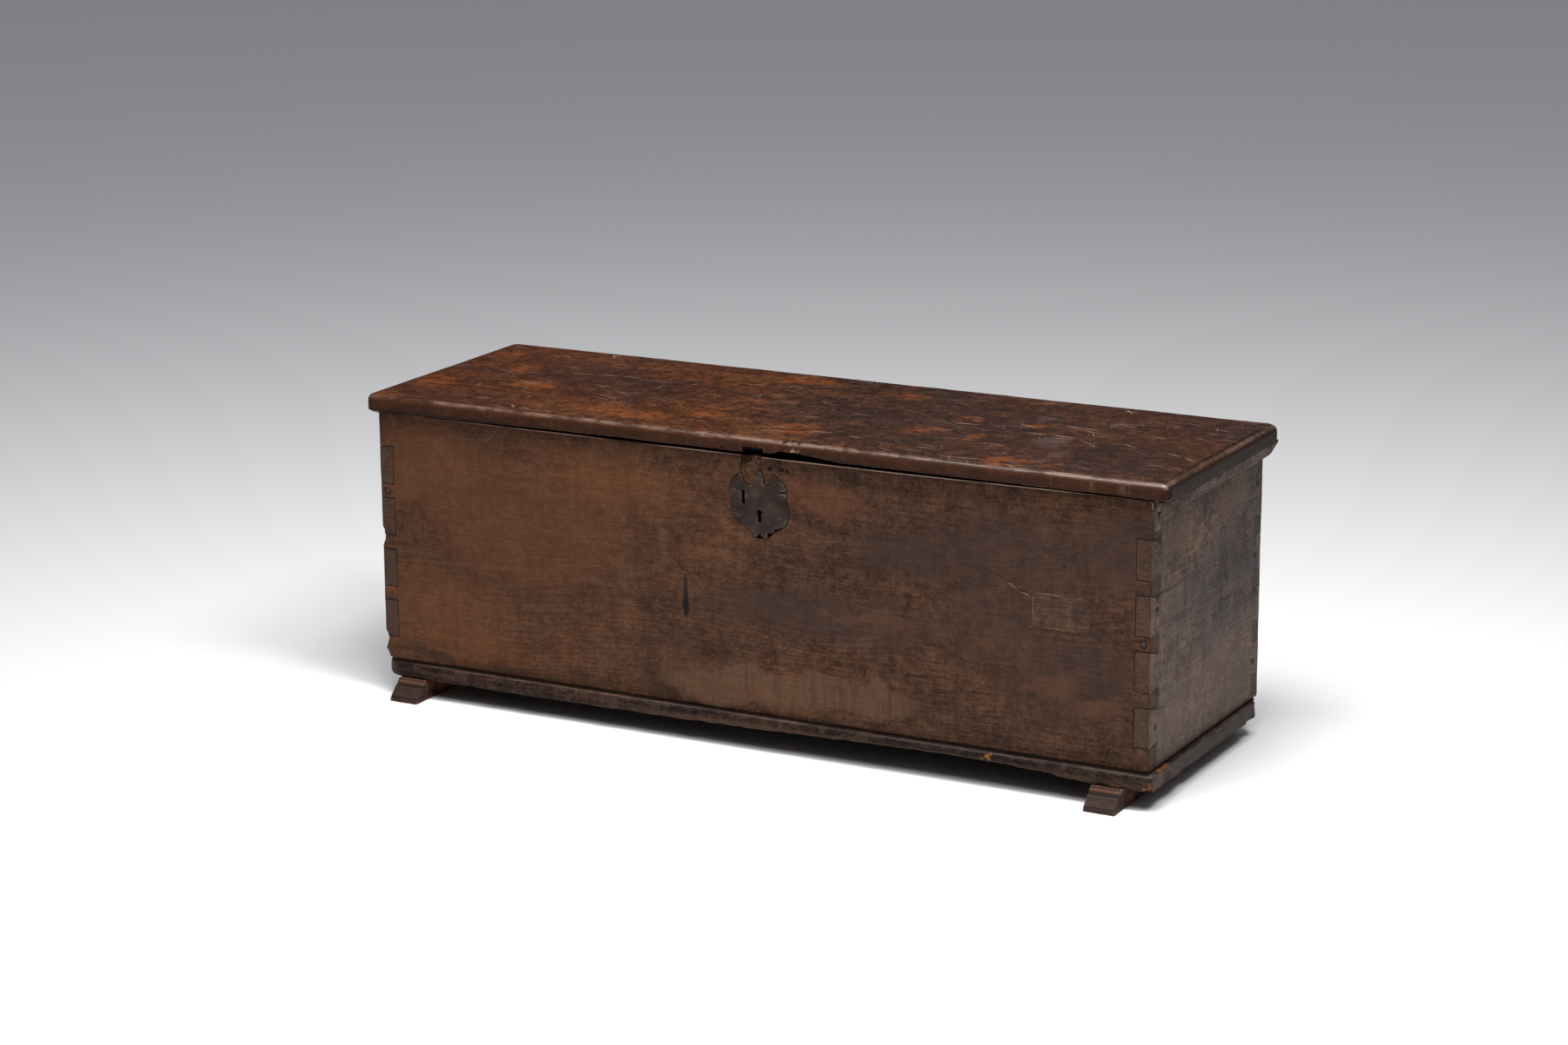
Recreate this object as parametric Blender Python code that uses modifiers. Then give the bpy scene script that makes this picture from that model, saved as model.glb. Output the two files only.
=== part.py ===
"""A dovetailed wooden storage chest with a cleated lid, split-pin hinges, a plate lock and runner feet.

Lengths are in metres and +Z is up. The chest is drawn in the frame of its case: X from the middle of the
front, Y from the front face towards the back, Z from the floor. An empty then moves it so that the origin
is the middle of its footprint.
"""
import math

import bmesh
import bpy
from mathutils import Matrix, Vector

# The case
CASE_LENGTH = 1.35
CASE_DEPTH = 0.44
CASE_HEIGHT = 0.413
SIDE_THICKNESS = 0.028
END_THICKNESS = 0.025

# The dovetailed corners
LOWEST_TAIL = 0.0365
TAIL_COUNT = 4
TAIL_SHARE = 0.735
TAIL_NARROWING = 0.006
TOP_PIN_HEIGHT = 0.0104
MITRE_HEIGHT = 0.046

# The base board under the case
BASE_THICKNESS = 0.0245
BASE_FRONT_REACH = 0.0155
BASE_RIGHT_REACH = 0.0105
BASE_LEFT_REACH = 0.001
BASE_NOSE_RADIUS = 0.008
BASE_LOWER_ROUNDING = 0.003
BASE_CORNER_RADIUS = 0.042
BASE_SOUND_CORNER_RADIUS = 0.008
BASE_WEAR_DEPTH = 0.011
BASE_WEAR_RUN = 0.06
# How deep the lower front edge is worn, against the place along the board
BASE_WEAR_SHARES = (
    (0.0, 0.0), (0.28, 0.0), (0.40, 0.12), (0.50, 0.34), (0.60, 0.62), (0.68, 0.86),
    (0.75, 1.0), (0.82, 0.9), (0.86, 0.6), (0.90, 0.2), (0.93, 0.0), (1.0, 0.0),
)

# The lid
LID_THICKNESS = 0.0255
LID_SEAM = 0.0055
LID_FRONT_REACH = 0.0125
LID_LEFT_REACH = 0.017
LID_RIGHT_REACH = 0.0275
LID_ROUNDING = 0.0095
LID_LOWER_ROUNDING = 0.0015
LID_QUIRK = 0.001
LID_FRONT_CORNER_RADIUS = 0.013
LID_REAR_CORNER_RADIUS = 0.018
HASP_NOTCH_WIDTH = 0.0355
HASP_NOTCH_HEIGHT = 0.0095
HASP_NOTCH_DEPTH = 0.022
HASP_NOTCH_PLACE = 0.0193
WORN_HOLLOW_WIDTH = 0.131
WORN_HOLLOW_RISE = 0.0087
WORN_HOLLOW_DEPTH = 0.026
WORN_HOLLOW_PLACE = 0.1025
# The worn hollow's edge, from the hasp notch to its right end, as shares of its width and of its rise
WORN_HOLLOW_SHARES = (
    (-0.515, -0.8), (-0.515, 0.24), (-0.44, 0.25), (-0.365, 0.39), (-0.33, 0.57), (-0.29, 1.0),
    (-0.21, 0.95), (-0.04, 0.97), (0.02, 0.71), (0.17, 0.54), (0.325, 0.36), (0.40, 0.17), (0.44, 0.05),
    (0.46, -0.8),
)

# The cleats under the lid's ends
CLEAT_HEIGHT = 0.0175
CLEAT_INSET = 0.0025
CLEAT_FRONT_SETBACK = 0.0125
CLEAT_REAR_SETBACK = 0.001
CLEAT_END_SLOPE = 0.042
CLEAT_TIP_HEIGHT = 0.003
# The slope at a cleat's end, as shares of its run and of its rise
CLEAT_SLOPE_SHARES = ((0.3, 0.62), (0.6, 0.27), (0.85, 0.06), (1.0, 0.0))
CLEAT_CLEARANCE = 0.0015

# The runner feet
FOOT_HEIGHT = 0.033
FOOT_WIDTH = 0.05
FOOT_INSET = 0.0355
FOOT_TOE_REACH = 0.0305
FOOT_MOULDING_RUN = 0.027
# The moulded front end, from the toe to the top, as shares of the moulding's run and of the foot's height
FOOT_MOULDING_SHARES = (
    (0.0, 0.0), (0.05, 0.18), (0.22, 0.33), (0.40, 0.48), (0.57, 0.645), (0.66, 0.70), (0.80, 0.73),
    (0.83, 0.77), (0.83, 0.83), (0.93, 0.90), (1.0, 1.0),
)

# The lock plate, drawn about its own middle
PLATE_HALF_WIDTH = 0.051
PLATE_HALF_HEIGHT = 0.0532
PLATE_THICKNESS = 0.0015
PLATE_PLACE = 0.0238
PLATE_DROP = 0.0765
# The plate's edge, clockwise from the crest: each row is one smooth stretch between two sharp corners
PLATE_EDGE_SHARES = (
    ((-0.15, 0.88), (-0.09, 0.97), (-0.01, 1.0), (0.06, 0.96), (0.10, 0.90)),
    ((0.10, 0.90), (0.15, 0.82), (0.13, 0.69), (0.18, 0.61), (0.29, 0.58), (0.38, 0.63), (0.44, 0.76),
     (0.46, 0.93)),
    ((0.46, 0.93), (0.57, 0.89), (0.73, 0.79), (0.86, 0.67), (0.93, 0.58), (0.93, 0.49)),
    ((0.93, 0.49), (0.82, 0.48), (0.68, 0.44), (0.73, 0.40), (0.86, 0.43), (0.92, 0.37), (0.93, 0.31),
     (0.89, 0.20)),
    ((0.89, 0.20), (0.93, 0.14), (0.90, 0.07)),
    ((0.90, 0.07), (0.98, -0.04), (1.0, -0.15), (0.98, -0.28), (0.93, -0.43), (0.85, -0.54),
     (0.74, -0.61), (0.60, -0.65), (0.51, -0.65)),
    ((0.51, -0.65), (0.51, -0.71), (0.45, -0.78), (0.36, -0.81), (0.23, -0.82)),
    ((0.23, -0.82), (0.29, -0.90), (0.29, -1.0)),
    ((0.29, -1.0), (0.25, -0.91), (0.20, -0.86), (0.18, -0.93), (0.13, -0.96), (0.05, -0.92),
     (0.01, -0.86)),
    ((0.01, -0.86), (-0.05, -0.94), (-0.11, -0.97), (-0.16, -0.93), (-0.19, -0.87)),
    ((-0.19, -0.87), (-0.33, -0.78), (-0.45, -0.67), (-0.51, -0.61)),
    ((-0.51, -0.61), (-0.62, -0.60), (-0.80, -0.49), (-0.89, -0.37), (-0.92, -0.25), (-0.93, 0.01),
     (-0.94, 0.18)),
    ((-0.94, 0.18), (-0.98, 0.28), (-0.96, 0.38)),
    ((-0.96, 0.38), (-1.0, 0.52), (-0.92, 0.64), (-0.76, 0.80), (-0.60, 0.88)),
    ((-0.60, 0.88), (-0.58, 0.76), (-0.51, 0.65), (-0.41, 0.58), (-0.29, 0.57), (-0.21, 0.63),
     (-0.19, 0.76), (-0.15, 0.88)),
)
PLATE_SMOOTH_STEPS = 2
KEYHOLE_PLACE = 0.0007
KEYHOLE_DROP = 0.0112
KEYHOLE_RADIUS = 0.0039
KEYHOLE_SLOT_WIDTH = 0.006
KEYHOLE_SLOT_DROP = 0.0279
STAPLE_SLOT_PLACE = -0.0276
STAPLE_SLOT_RISE = 0.0103
STAPLE_SLOT_WIDTH = 0.0058
STAPLE_SLOT_HEIGHT = 0.0219
# The plate's nails, as shares of its half width and half height
PLATE_NAIL_SHARES = ((-0.04, 0.79), (0.55, 0.65), (-0.83, 0.35), (0.71, -0.34), (-0.69, -0.40))

# The lock behind the plate, in a mortise in the front board
MORTISE_HALF_WIDTH = 0.0325
MORTISE_RISE = 0.0225
MORTISE_DROP = 0.031
MORTISE_DEPTH = 0.018
BOLT_HEIGHT = 0.009
BOLT_THICKNESS = 0.004
BOLT_TIP_PLACE = -0.019
BOLT_LENGTH = 0.051
BOLT_TRAVEL = 0.0125
BOLT_BLOCK_PLACE = 0.009
BOLT_BLOCK_LENGTH = 0.013
BOLT_BLOCK_DROP = 0.0045
BOLT_TALON_WIDTH = 0.006
BOLT_RUN_CLEARANCE = 0.0004
GUIDE_WALL = 0.002
GUIDE_WIDTH = 0.0035
GUIDE_PLACES = (-0.015, 0.0185)
SPRING_THICKNESS = 0.001
SPRING_LENGTH = 0.026

# The split-pin hinges
HINGE_PLACE_SHARES = (-0.724, 0.0126, 0.684)
HINGE_WIRE_RADIUS = 0.002
HINGE_LEG_GAP = 0.0004
LID_EYE_RADIUS = 0.0048
CASE_EYE_RADIUS = 0.0055
HINGE_STANDOFF = 0.0095
HINGE_RISE = 0.0041
HINGE_SLOPE = math.radians(43)
CLENCH_LENGTH = 0.014
CLENCH_BEND_RADIUS = 0.0032
CLENCH_SINK = 0.0012
HINGE_HOLE_CLEARANCE = 0.0007
EYE_OPENING = math.radians(38)
EYE_STEPS = 13
BEND_STEPS = 3

# The let-in patches
FRONT_PATCH_LENGTH = 0.094
FRONT_PATCH_HEIGHT = 0.053
FRONT_PATCH_INSET = 0.143
FRONT_PATCH_RISE = 0.2265
FRONT_PATCH_TILT = math.radians(2)
SIDE_PATCH_LENGTH = 0.092
SIDE_PATCH_HEIGHT = 0.047
SIDE_PATCH_PLACE = 0.0770
SIDE_PATCH_RISE = 0.2436
PATCH_THICKNESS = 0.008
PATCH_STANDS_PROUD = 0.0003

# The splintered place in the front board's top edge, above the lock plate
SPLINTERED_WIDTH = 0.036
SPLINTERED_HEIGHT = 0.034
SPLINTERED_DEPTH = 0.005
SPLINTERED_PLACE = 0.0095

# Nails: head radius, head height, shank radius, length
PLATE_NAIL = (0.0032, 0.0016, 0.0011, 0.016)
CORNER_NAIL = (0.0042, 0.0016, 0.0019, 0.045)
FACE_NAIL = (0.0048, 0.0018, 0.0019, 0.045)
CLEAT_NAIL = (0.0036, 0.0014, 0.0016, 0.036)
BASE_NAIL = (0.0046, 0.0018, 0.0019, 0.060)
FOOT_NAIL = (0.0046, 0.0018, 0.0019, 0.045)
# A nail head's profile, from the top to its rim, as shares of its radius and of its height
NAIL_HEAD_SHARES = ((0, 1), (0.45, 0.85), (1, 0.3), (1, 0))
NAIL_POINT_SHARE = 0.4
NAIL_SIDES = 8
NAIL_CLEARANCE = 0.0003
CORNER_NAIL_INSET = 0.0215
FACE_NAIL_INSET = 0.0125
# Heights of the corner nails, as shares of the case's height, at the front and at the rear edge
FRONT_CORNER_NAIL_SHARES = (0.945, 0.60, 0.449, 0.16)
REAR_CORNER_NAIL_SHARES = (0.566, 0.151)
# The pin that each nail in the front face goes through, counted from below
FACE_NAIL_PINS = (3, 2)
# Places along a cleat, the base board and a foot, as shares of the length that each covers
CLEAT_NAIL_SHARES = (0.2, 0.5, 0.8)
BASE_NAIL_SHARES = (-0.68, 0.0, 0.68)
FOOT_NAIL_SHARES = (0.25, 0.75)

# Clearances, the overrun of every cutter, and how finely round shapes are drawn
GAP = 0.0003
CUT_OVERRUN = 0.01
MERGE_DISTANCE = 0.000003
ARC_STEPS = 5

BASE_BOTTOM = FOOT_HEIGHT + GAP
BASE_TOP = BASE_BOTTOM + BASE_THICKNESS
CASE_BOTTOM = BASE_TOP + GAP
CASE_TOP = CASE_BOTTOM + CASE_HEIGHT
TAIL_PITCH = (CASE_HEIGHT - MITRE_HEIGHT - TOP_PIN_HEIGHT - LOWEST_TAIL) / (TAIL_COUNT - 1 + TAIL_SHARE)
TAIL_HEIGHT = TAIL_SHARE * TAIL_PITCH
TAIL_SLOPE = TAIL_NARROWING / SIDE_THICKNESS
LID_BOTTOM = CASE_TOP + LID_SEAM
LID_TOP = LID_BOTTOM + LID_THICKNESS
HALF_LENGTH = CASE_LENGTH / 2
LID_LEFT = -HALF_LENGTH - LID_LEFT_REACH
LID_RIGHT = HALF_LENGTH + LID_RIGHT_REACH
LID_FRONT = -LID_FRONT_REACH
HINGE_AXIS = Vector((0, CASE_DEPTH + HINGE_STANDOFF, CASE_TOP + HINGE_RISE))
PLATE_MIDDLE = Vector((PLATE_PLACE, 0, CASE_TOP - PLATE_DROP))
TOE_FRONT = -BASE_FRONT_REACH - FOOT_TOE_REACH
REARMOST = CASE_DEPTH + HINGE_STANDOFF + LID_EYE_RADIUS + HINGE_WIRE_RADIUS

# How a piece drawn in X and Y is turned so that it faces the front or the side
FACING_FRONT = (math.pi / 2, 0, 0)
FACING_SIDE = (math.pi / 2, 0, math.pi / 2)
SMOOTH_BELOW = math.radians(40)


def clear_scene():
    for old in list(bpy.data.objects):
        bpy.data.objects.remove(old, do_unlink=True)


def make_collection(name):
    collection = bpy.data.collections.new(name)
    bpy.context.scene.collection.children.link(collection)
    return collection


def make_material(name, colour, roughness, metallic=0.0):
    material = bpy.data.materials.new(name)
    material.use_nodes = True
    shader = material.node_tree.nodes["Principled BSDF"]
    shader.inputs["Base Color"].default_value = (*colour, 1.0)
    shader.inputs["Roughness"].default_value = roughness
    shader.inputs["Metallic"].default_value = metallic
    material.diffuse_color = (*colour, 1.0)
    return material


class Bench:
    """The collections, materials and empties that every piece is made with."""

    def __init__(self):
        clear_scene()
        self.parts = make_collection("storage_chest")
        self.cutters = make_collection("cutters")
        self.walnut = make_material("walnut", (0.17, 0.085, 0.045), 0.55)
        self.lid_walnut = make_material("lid walnut", (0.20, 0.075, 0.035), 0.45)
        self.foot_wood = make_material("foot wood", (0.24, 0.11, 0.05), 0.6)
        self.patch_wood = make_material("patch wood", (0.20, 0.11, 0.06), 0.6)
        self.iron = make_material("wrought iron", (0.06, 0.05, 0.045), 0.6, 0.8)
        self.case_frame = self.empty("chest_frame", footprint_shift(), None)
        self.lid_frame = self.empty("lid_hinge_axis", HINGE_AXIS, self.case_frame)
        self.bolt_frame = self.empty("lock_bolt_track", PLATE_MIDDLE, self.case_frame)

    def empty(self, name, location, parent):
        frame = bpy.data.objects.new(name, None)
        frame.location = location
        frame.parent = parent
        self.parts.objects.link(frame)
        return frame

    def place(self, piece, material, frame, location, turn=(0, 0, 0)):
        """Put a piece in the parts' collection at a place given in the frame of the case."""
        self.parts.objects.link(piece)
        piece.data.materials.clear()
        piece.data.materials.append(material)
        piece.parent = frame
        piece.location = Vector(location) - frame_origin(self, frame)
        piece.rotation_euler = turn
        return piece

    def place_cutter(self, cutter, location, turn=(0, 0, 0)):
        self.cutters.objects.link(cutter)
        cutter.parent = self.case_frame
        cutter.location = location
        cutter.rotation_euler = turn
        cutter.hide_render = True
        cutter.display_type = "WIRE"
        return cutter


def frame_origin(bench, frame):
    """Where a frame lies in the frame of the case."""
    return Vector((0, 0, 0)) if frame is bench.case_frame else Vector(frame.location)


def footprint_shift():
    """Moves the middle of the whole footprint to the origin."""
    return Vector((-(LID_LEFT + LID_RIGHT) / 2, -(TOE_FRONT + REARMOST) / 2, 0))


def mesh_from(bm, name):
    mesh = bpy.data.meshes.new(name)
    bm.to_mesh(mesh)
    bm.free()
    return mesh


def box(name, size):
    """A box about its own middle."""
    bm = bmesh.new()
    bmesh.ops.create_cube(bm, size=1)
    bmesh.ops.scale(bm, vec=Vector(size), verts=bm.verts)
    return bpy.data.objects.new(name, mesh_from(bm, name))


def rod_into(bm, radius, length, sides, matrix):
    """Add a closed many-sided rod to a mesh, its middle at the matrix."""
    bmesh.ops.create_cone(
        bm, cap_ends=True, segments=sides, radius1=radius, radius2=radius, depth=length, matrix=matrix)


def add_points(curve, points):
    """Add a straight-sided spline through points to a curve."""
    spline = curve.splines.new("POLY")
    spline.points.add(len(points) - 1)
    for knot, point in zip(spline.points, points):
        knot.co = (*point, 1)
    return spline


def slab(name, outline, thickness):
    """A flat outline in local X and Y, thickened along local Z about the middle."""
    curve = bpy.data.curves.new(name, "CURVE")
    curve.dimensions = "2D"
    curve.fill_mode = "BOTH"
    curve.extrude = thickness / 2
    add_points(curve, [(across, up, 0) for across, up in outline]).use_cyclic_u = True
    return mesh_of_curve(name, curve)


def mesh_of_curve(name, curve):
    """Make a welded, closed mesh object of a curve."""
    drawn = bpy.data.objects.new(name + "_curve", curve)
    bpy.context.scene.collection.objects.link(drawn)
    evaluated = drawn.evaluated_get(bpy.context.evaluated_depsgraph_get())
    mesh = bpy.data.meshes.new_from_object(evaluated)
    bm = bmesh.new()
    bm.from_mesh(mesh)
    bmesh.ops.remove_doubles(bm, verts=bm.verts, dist=MERGE_DISTANCE)
    bmesh.ops.recalc_face_normals(bm, faces=bm.faces)
    bm.to_mesh(mesh)
    bm.free()
    solid = bpy.data.objects.new(name, mesh)
    solid.matrix_world = drawn.matrix_world
    bpy.data.objects.remove(drawn)
    bpy.data.curves.remove(curve)
    return solid


def cut(piece, cutter):
    boolean = piece.modifiers.new("cut " + cutter.name, "BOOLEAN")
    boolean.object = cutter
    boolean.operation = "DIFFERENCE"
    boolean.solver = "EXACT"


def smooth_stretch(points, steps):
    """Points along a curve that passes through the given points, the last one left off."""
    ends = [points[0]] + list(points) + [points[-1]]
    smooth = []
    for before, start, end, after in zip(ends, ends[1:], ends[2:], ends[3:]):
        for step in range(steps):
            t = step / steps
            smooth.append(tuple(catmull_rom(*four, t) for four in zip(before, start, end, after)))
    return smooth


def catmull_rom(before, start, end, after, t):
    linear = end - before
    square = 2 * before - 5 * start + 4 * end - after
    cube = 3 * start - before - 3 * end + after
    return start + (linear * t + square * t ** 2 + cube * t ** 3) / 2


def stacked_solid(name, levels):
    """A solid through closed outlines of equal length, listed from the bottom to the top."""
    bm = bmesh.new()
    rings = [[bm.verts.new(point) for point in level] for level in levels]
    for lower, upper in zip(rings, rings[1:]):
        for i in range(len(lower)):
            j = (i + 1) % len(lower)
            bm.faces.new((lower[i], lower[j], upper[j], upper[i]))
    bm.faces.new(list(reversed(rings[0])))
    bm.faces.new(rings[-1])
    bmesh.ops.recalc_face_normals(bm, faces=bm.faces)
    return bpy.data.objects.new(name, mesh_from(bm, name))


# The case: four boards joined by dovetails with a mitre above them


def side_face(side):
    """The outer face of the front board (side -1) or of the back board (side 1)."""
    return 0 if side < 0 else CASE_DEPTH


def tail_heights():
    """The lower and the upper edge of each dovetail tail at the board's outer face."""
    lows = [LOWEST_TAIL + i * TAIL_PITCH for i in range(TAIL_COUNT)]
    return [(low, low + TAIL_HEIGHT) for low in lows]


def strip_outline(side, depth, lower, upper):
    """A strip into a board, seen from its end, between two edges.

    Each edge is its height at the outer face and how much it rises inwards for each unit of depth.
    """
    outer = side_face(side) + side * CUT_OVERRUN
    inner = side_face(side) - side * depth
    low, low_rise = lower
    high, high_rise = upper
    return (
        (outer, low - low_rise * CUT_OVERRUN), (inner, low + low_rise * depth),
        (inner, high + high_rise * depth), (outer, high - high_rise * CUT_OVERRUN),
    )


def tail_sockets(side):
    """What a side board gives up for the tails, a gap larger than they are."""
    depth = SIDE_THICKNESS + CUT_OVERRUN
    return [
        strip_outline(side, depth, (low - GAP, TAIL_SLOPE), (high + GAP, -TAIL_SLOPE))
        for low, high in tail_heights()]


def pin_sockets(side):
    """What an end board gives up between its tails, up to the mitred block above them."""
    lowers = [(-CUT_OVERRUN, 0)] + [(high, -TAIL_SLOPE) for low, high in tail_heights()]
    uppers = [(low, TAIL_SLOPE) for low, high in tail_heights()]
    uppers.append((CASE_HEIGHT - MITRE_HEIGHT + GAP, 0))
    return [
        strip_outline(side, SIDE_THICKNESS + GAP, lower, upper) for lower, upper in zip(lowers, uppers)]


def socket_cutter(bench, name, end, outlines):
    """One cutter with a prism for each socket, through the whole thickness of an end board."""
    thickness = END_THICKNESS + GAP + CUT_OVERRUN
    middle = end * (HALF_LENGTH - END_THICKNESS - GAP + thickness / 2)
    bm = bmesh.new()
    for outline in outlines:
        prism = slab(name, outline, thickness)
        bm.from_mesh(prism.data)
        bpy.data.objects.remove(prism)
    cutter = bpy.data.objects.new(name, mesh_from(bm, name))
    return bench.place_cutter(cutter, (middle, 0, CASE_BOTTOM), FACING_SIDE)


def mitre_outline(end, side, grow, keeps_side_board):
    """The part of a corner beyond the mitre line, in plan, that one of the two boards gives up."""
    outer = Vector((end * HALF_LENGTH, side_face(side)))
    inner = Vector((end * (HALF_LENGTH - END_THICKNESS), side_face(side) - side * SIDE_THICKNESS))
    along = (outer - inner).normalized()
    across = Vector((end * SIDE_THICKNESS, -side * END_THICKNESS)).normalized()
    away = across if keeps_side_board else -across
    start = inner - along * CUT_OVERRUN - away * grow
    finish = outer + along * CUT_OVERRUN - away * grow
    reach = away * (END_THICKNESS + CUT_OVERRUN)
    return [tuple(start), tuple(finish), tuple(finish + reach), tuple(start + reach)]


def mitre_cutter(bench, name, end, side, grow, keeps_side_board):
    outline = mitre_outline(end, side, grow, keeps_side_board)
    height = MITRE_HEIGHT + CUT_OVERRUN
    cutter = slab(name, outline, height)
    return bench.place_cutter(cutter, (0, 0, CASE_TOP - MITRE_HEIGHT + height / 2))


def make_side_board(bench, name, side):
    """The front board (side -1) or the back board (side 1), cut for the tails and the mitres."""
    board = box(name, (CASE_LENGTH, SIDE_THICKNESS, CASE_HEIGHT))
    middle = side_face(side) - side * SIDE_THICKNESS / 2
    bench.place(board, bench.walnut, bench.case_frame, (0, middle, CASE_BOTTOM + CASE_HEIGHT / 2))
    for end in (-1, 1):
        hand = "left" if end < 0 else "right"
        cut(board, socket_cutter(bench, f"{name}_{hand}_tails", end, tail_sockets(side)))
        cut(board, mitre_cutter(bench, f"{name}_{hand}_mitre", end, side, 0, True))
    return board


def make_end_board(bench, name, end):
    """The left end board (end -1) or the right one (end 1), cut for the pins and the mitres."""
    board = box(name, (END_THICKNESS, CASE_DEPTH, CASE_HEIGHT))
    middle = (end * (HALF_LENGTH - END_THICKNESS / 2), CASE_DEPTH / 2, CASE_BOTTOM + CASE_HEIGHT / 2)
    bench.place(board, bench.walnut, bench.case_frame, middle)
    for side in (-1, 1):
        depth = "front" if side < 0 else "rear"
        cut(board, socket_cutter(bench, f"{name}_{depth}_pins", end, pin_sockets(side)))
        cut(board, mitre_cutter(bench, f"{name}_{depth}_mitre", end, side, GAP, False))
    return board


# The base board: sections across it, lofted along its length


def base_wear(share):
    """How deep the lower front edge is worn at a share of the board's length."""
    for (start, low), (end, high) in zip(BASE_WEAR_SHARES, BASE_WEAR_SHARES[1:]):
        if share <= end:
            blend = (share - start) / (end - start)
            blend = blend * blend * (3 - 2 * blend)
            return BASE_WEAR_DEPTH * (low + (high - low) * blend)
    return 0.0


def corner_setback(distance, radius):
    """How far a rounded corner draws the edge back at a distance from the board's end."""
    if distance >= radius:
        return 0.0
    return radius - math.sqrt(radius ** 2 - (radius - distance) ** 2)


def base_stations():
    """Places along the base board, close together round its corners."""
    left = -HALF_LENGTH - BASE_LEFT_REACH
    right = HALF_LENGTH + BASE_RIGHT_REACH
    rounding = [1 - math.cos(math.pi / 2 * i / ARC_STEPS) for i in range(ARC_STEPS + 1)]
    places = [left + BASE_CORNER_RADIUS * share for share in rounding]
    places += [left + (right - left) * share for share, depth in BASE_WEAR_SHARES[1:-1]]
    places += [right - BASE_CORNER_RADIUS * share for share in reversed(rounding)]
    places += [right - BASE_SOUND_CORNER_RADIUS * share for share in rounding[1:-1]]
    return sorted(places), left, right


def base_section(place, left, right):
    """One section of the base board, as (depth, height) points."""
    front_radius = BASE_CORNER_RADIUS if place < 0 else BASE_SOUND_CORNER_RADIUS
    distance = min(place - left, right - place)
    front = corner_setback(distance, front_radius) - BASE_FRONT_REACH
    rear = CASE_DEPTH - corner_setback(distance, BASE_CORNER_RADIUS)
    lift = base_wear((place - left) / (right - left))
    points = [(rear, 0), (front + BASE_WEAR_RUN, 0)]
    points += [(front + BASE_LOWER_ROUNDING, lift), (front, lift + BASE_LOWER_ROUNDING)]
    for i in range(ARC_STEPS + 1):
        angle = math.pi / 2 * i / ARC_STEPS
        back = BASE_NOSE_RADIUS * (1 - math.cos(angle))
        rise = BASE_THICKNESS - BASE_NOSE_RADIUS * (1 - math.sin(angle))
        points.append((front + back, rise))
    points.append((rear, BASE_THICKNESS))
    return points


def make_base_board(bench):
    places, left, right = base_stations()
    levels = []
    for place in places:
        section = base_section(place, left, right)
        levels.append([(place, depth, height) for depth, height in section])
    board = stacked_solid("base_board", levels)
    return bench.place(board, bench.walnut, bench.case_frame, (0, 0, BASE_BOTTOM))


# The lid board and its cleats


def rounded_rectangle(inset, height):
    """The lid's outline in plan at a height, drawn in by an inset, starting at the front left corner."""
    corners = (
        (LID_LEFT, LID_FRONT, 1, 1, LID_FRONT_CORNER_RADIUS, math.pi),
        (LID_RIGHT, LID_FRONT, -1, 1, LID_FRONT_CORNER_RADIUS, 1.5 * math.pi),
        (LID_RIGHT, CASE_DEPTH, -1, -1, LID_REAR_CORNER_RADIUS, 0),
        (LID_LEFT, CASE_DEPTH, 1, -1, LID_REAR_CORNER_RADIUS, 0.5 * math.pi),
    )
    outline = []
    for across, deep, x_sign, y_sign, radius, start in corners:
        centre = Vector((across + x_sign * radius, deep + y_sign * radius))
        for i in range(ARC_STEPS + 1):
            angle = start + math.pi / 2 * i / ARC_STEPS
            reach = radius - inset
            outline.append((
                centre.x + reach * math.cos(angle), centre.y + reach * math.sin(angle), height))
    return outline


def lid_levels():
    """The lid's moulded edge: a small lower round, a quarter round above it and a quirk at the top."""
    levels = [rounded_rectangle(LID_LOWER_ROUNDING, 0), rounded_rectangle(0, LID_LOWER_ROUNDING)]
    shoulder = LID_THICKNESS - LID_QUIRK - LID_ROUNDING
    for i in range(ARC_STEPS + 1):
        angle = math.pi / 2 * i / ARC_STEPS
        inset = LID_ROUNDING * (1 - math.cos(angle))
        levels.append(rounded_rectangle(inset, shoulder + LID_ROUNDING * math.sin(angle)))
    levels.append(rounded_rectangle(LID_ROUNDING + LID_QUIRK, LID_THICKNESS))
    return levels


def worn_hollow_outline():
    """The worn hollow under the lid's front edge, seen from the front."""
    return [(WORN_HOLLOW_WIDTH * across, WORN_HOLLOW_RISE * up) for across, up in WORN_HOLLOW_SHARES]


def make_lid_board(bench):
    lid = stacked_solid("lid_board", lid_levels())
    bench.place(lid, bench.lid_walnut, bench.lid_frame, (0, 0, LID_BOTTOM))
    notch_depth = HASP_NOTCH_DEPTH + CUT_OVERRUN
    notch = box("hasp_notch", (HASP_NOTCH_WIDTH, notch_depth, HASP_NOTCH_HEIGHT + CUT_OVERRUN))
    bench.place_cutter(notch, (
        HASP_NOTCH_PLACE, LID_FRONT + HASP_NOTCH_DEPTH - notch_depth / 2,
        LID_BOTTOM + (HASP_NOTCH_HEIGHT - CUT_OVERRUN) / 2))
    cut(lid, notch)
    hollow_depth = WORN_HOLLOW_DEPTH + CUT_OVERRUN
    hollow = slab("worn_hollow", worn_hollow_outline(), hollow_depth)
    bench.place_cutter(hollow, (
        WORN_HOLLOW_PLACE, LID_FRONT + WORN_HOLLOW_DEPTH - hollow_depth / 2, LID_BOTTOM), FACING_FRONT)
    cut(lid, hollow)
    return lid


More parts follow.
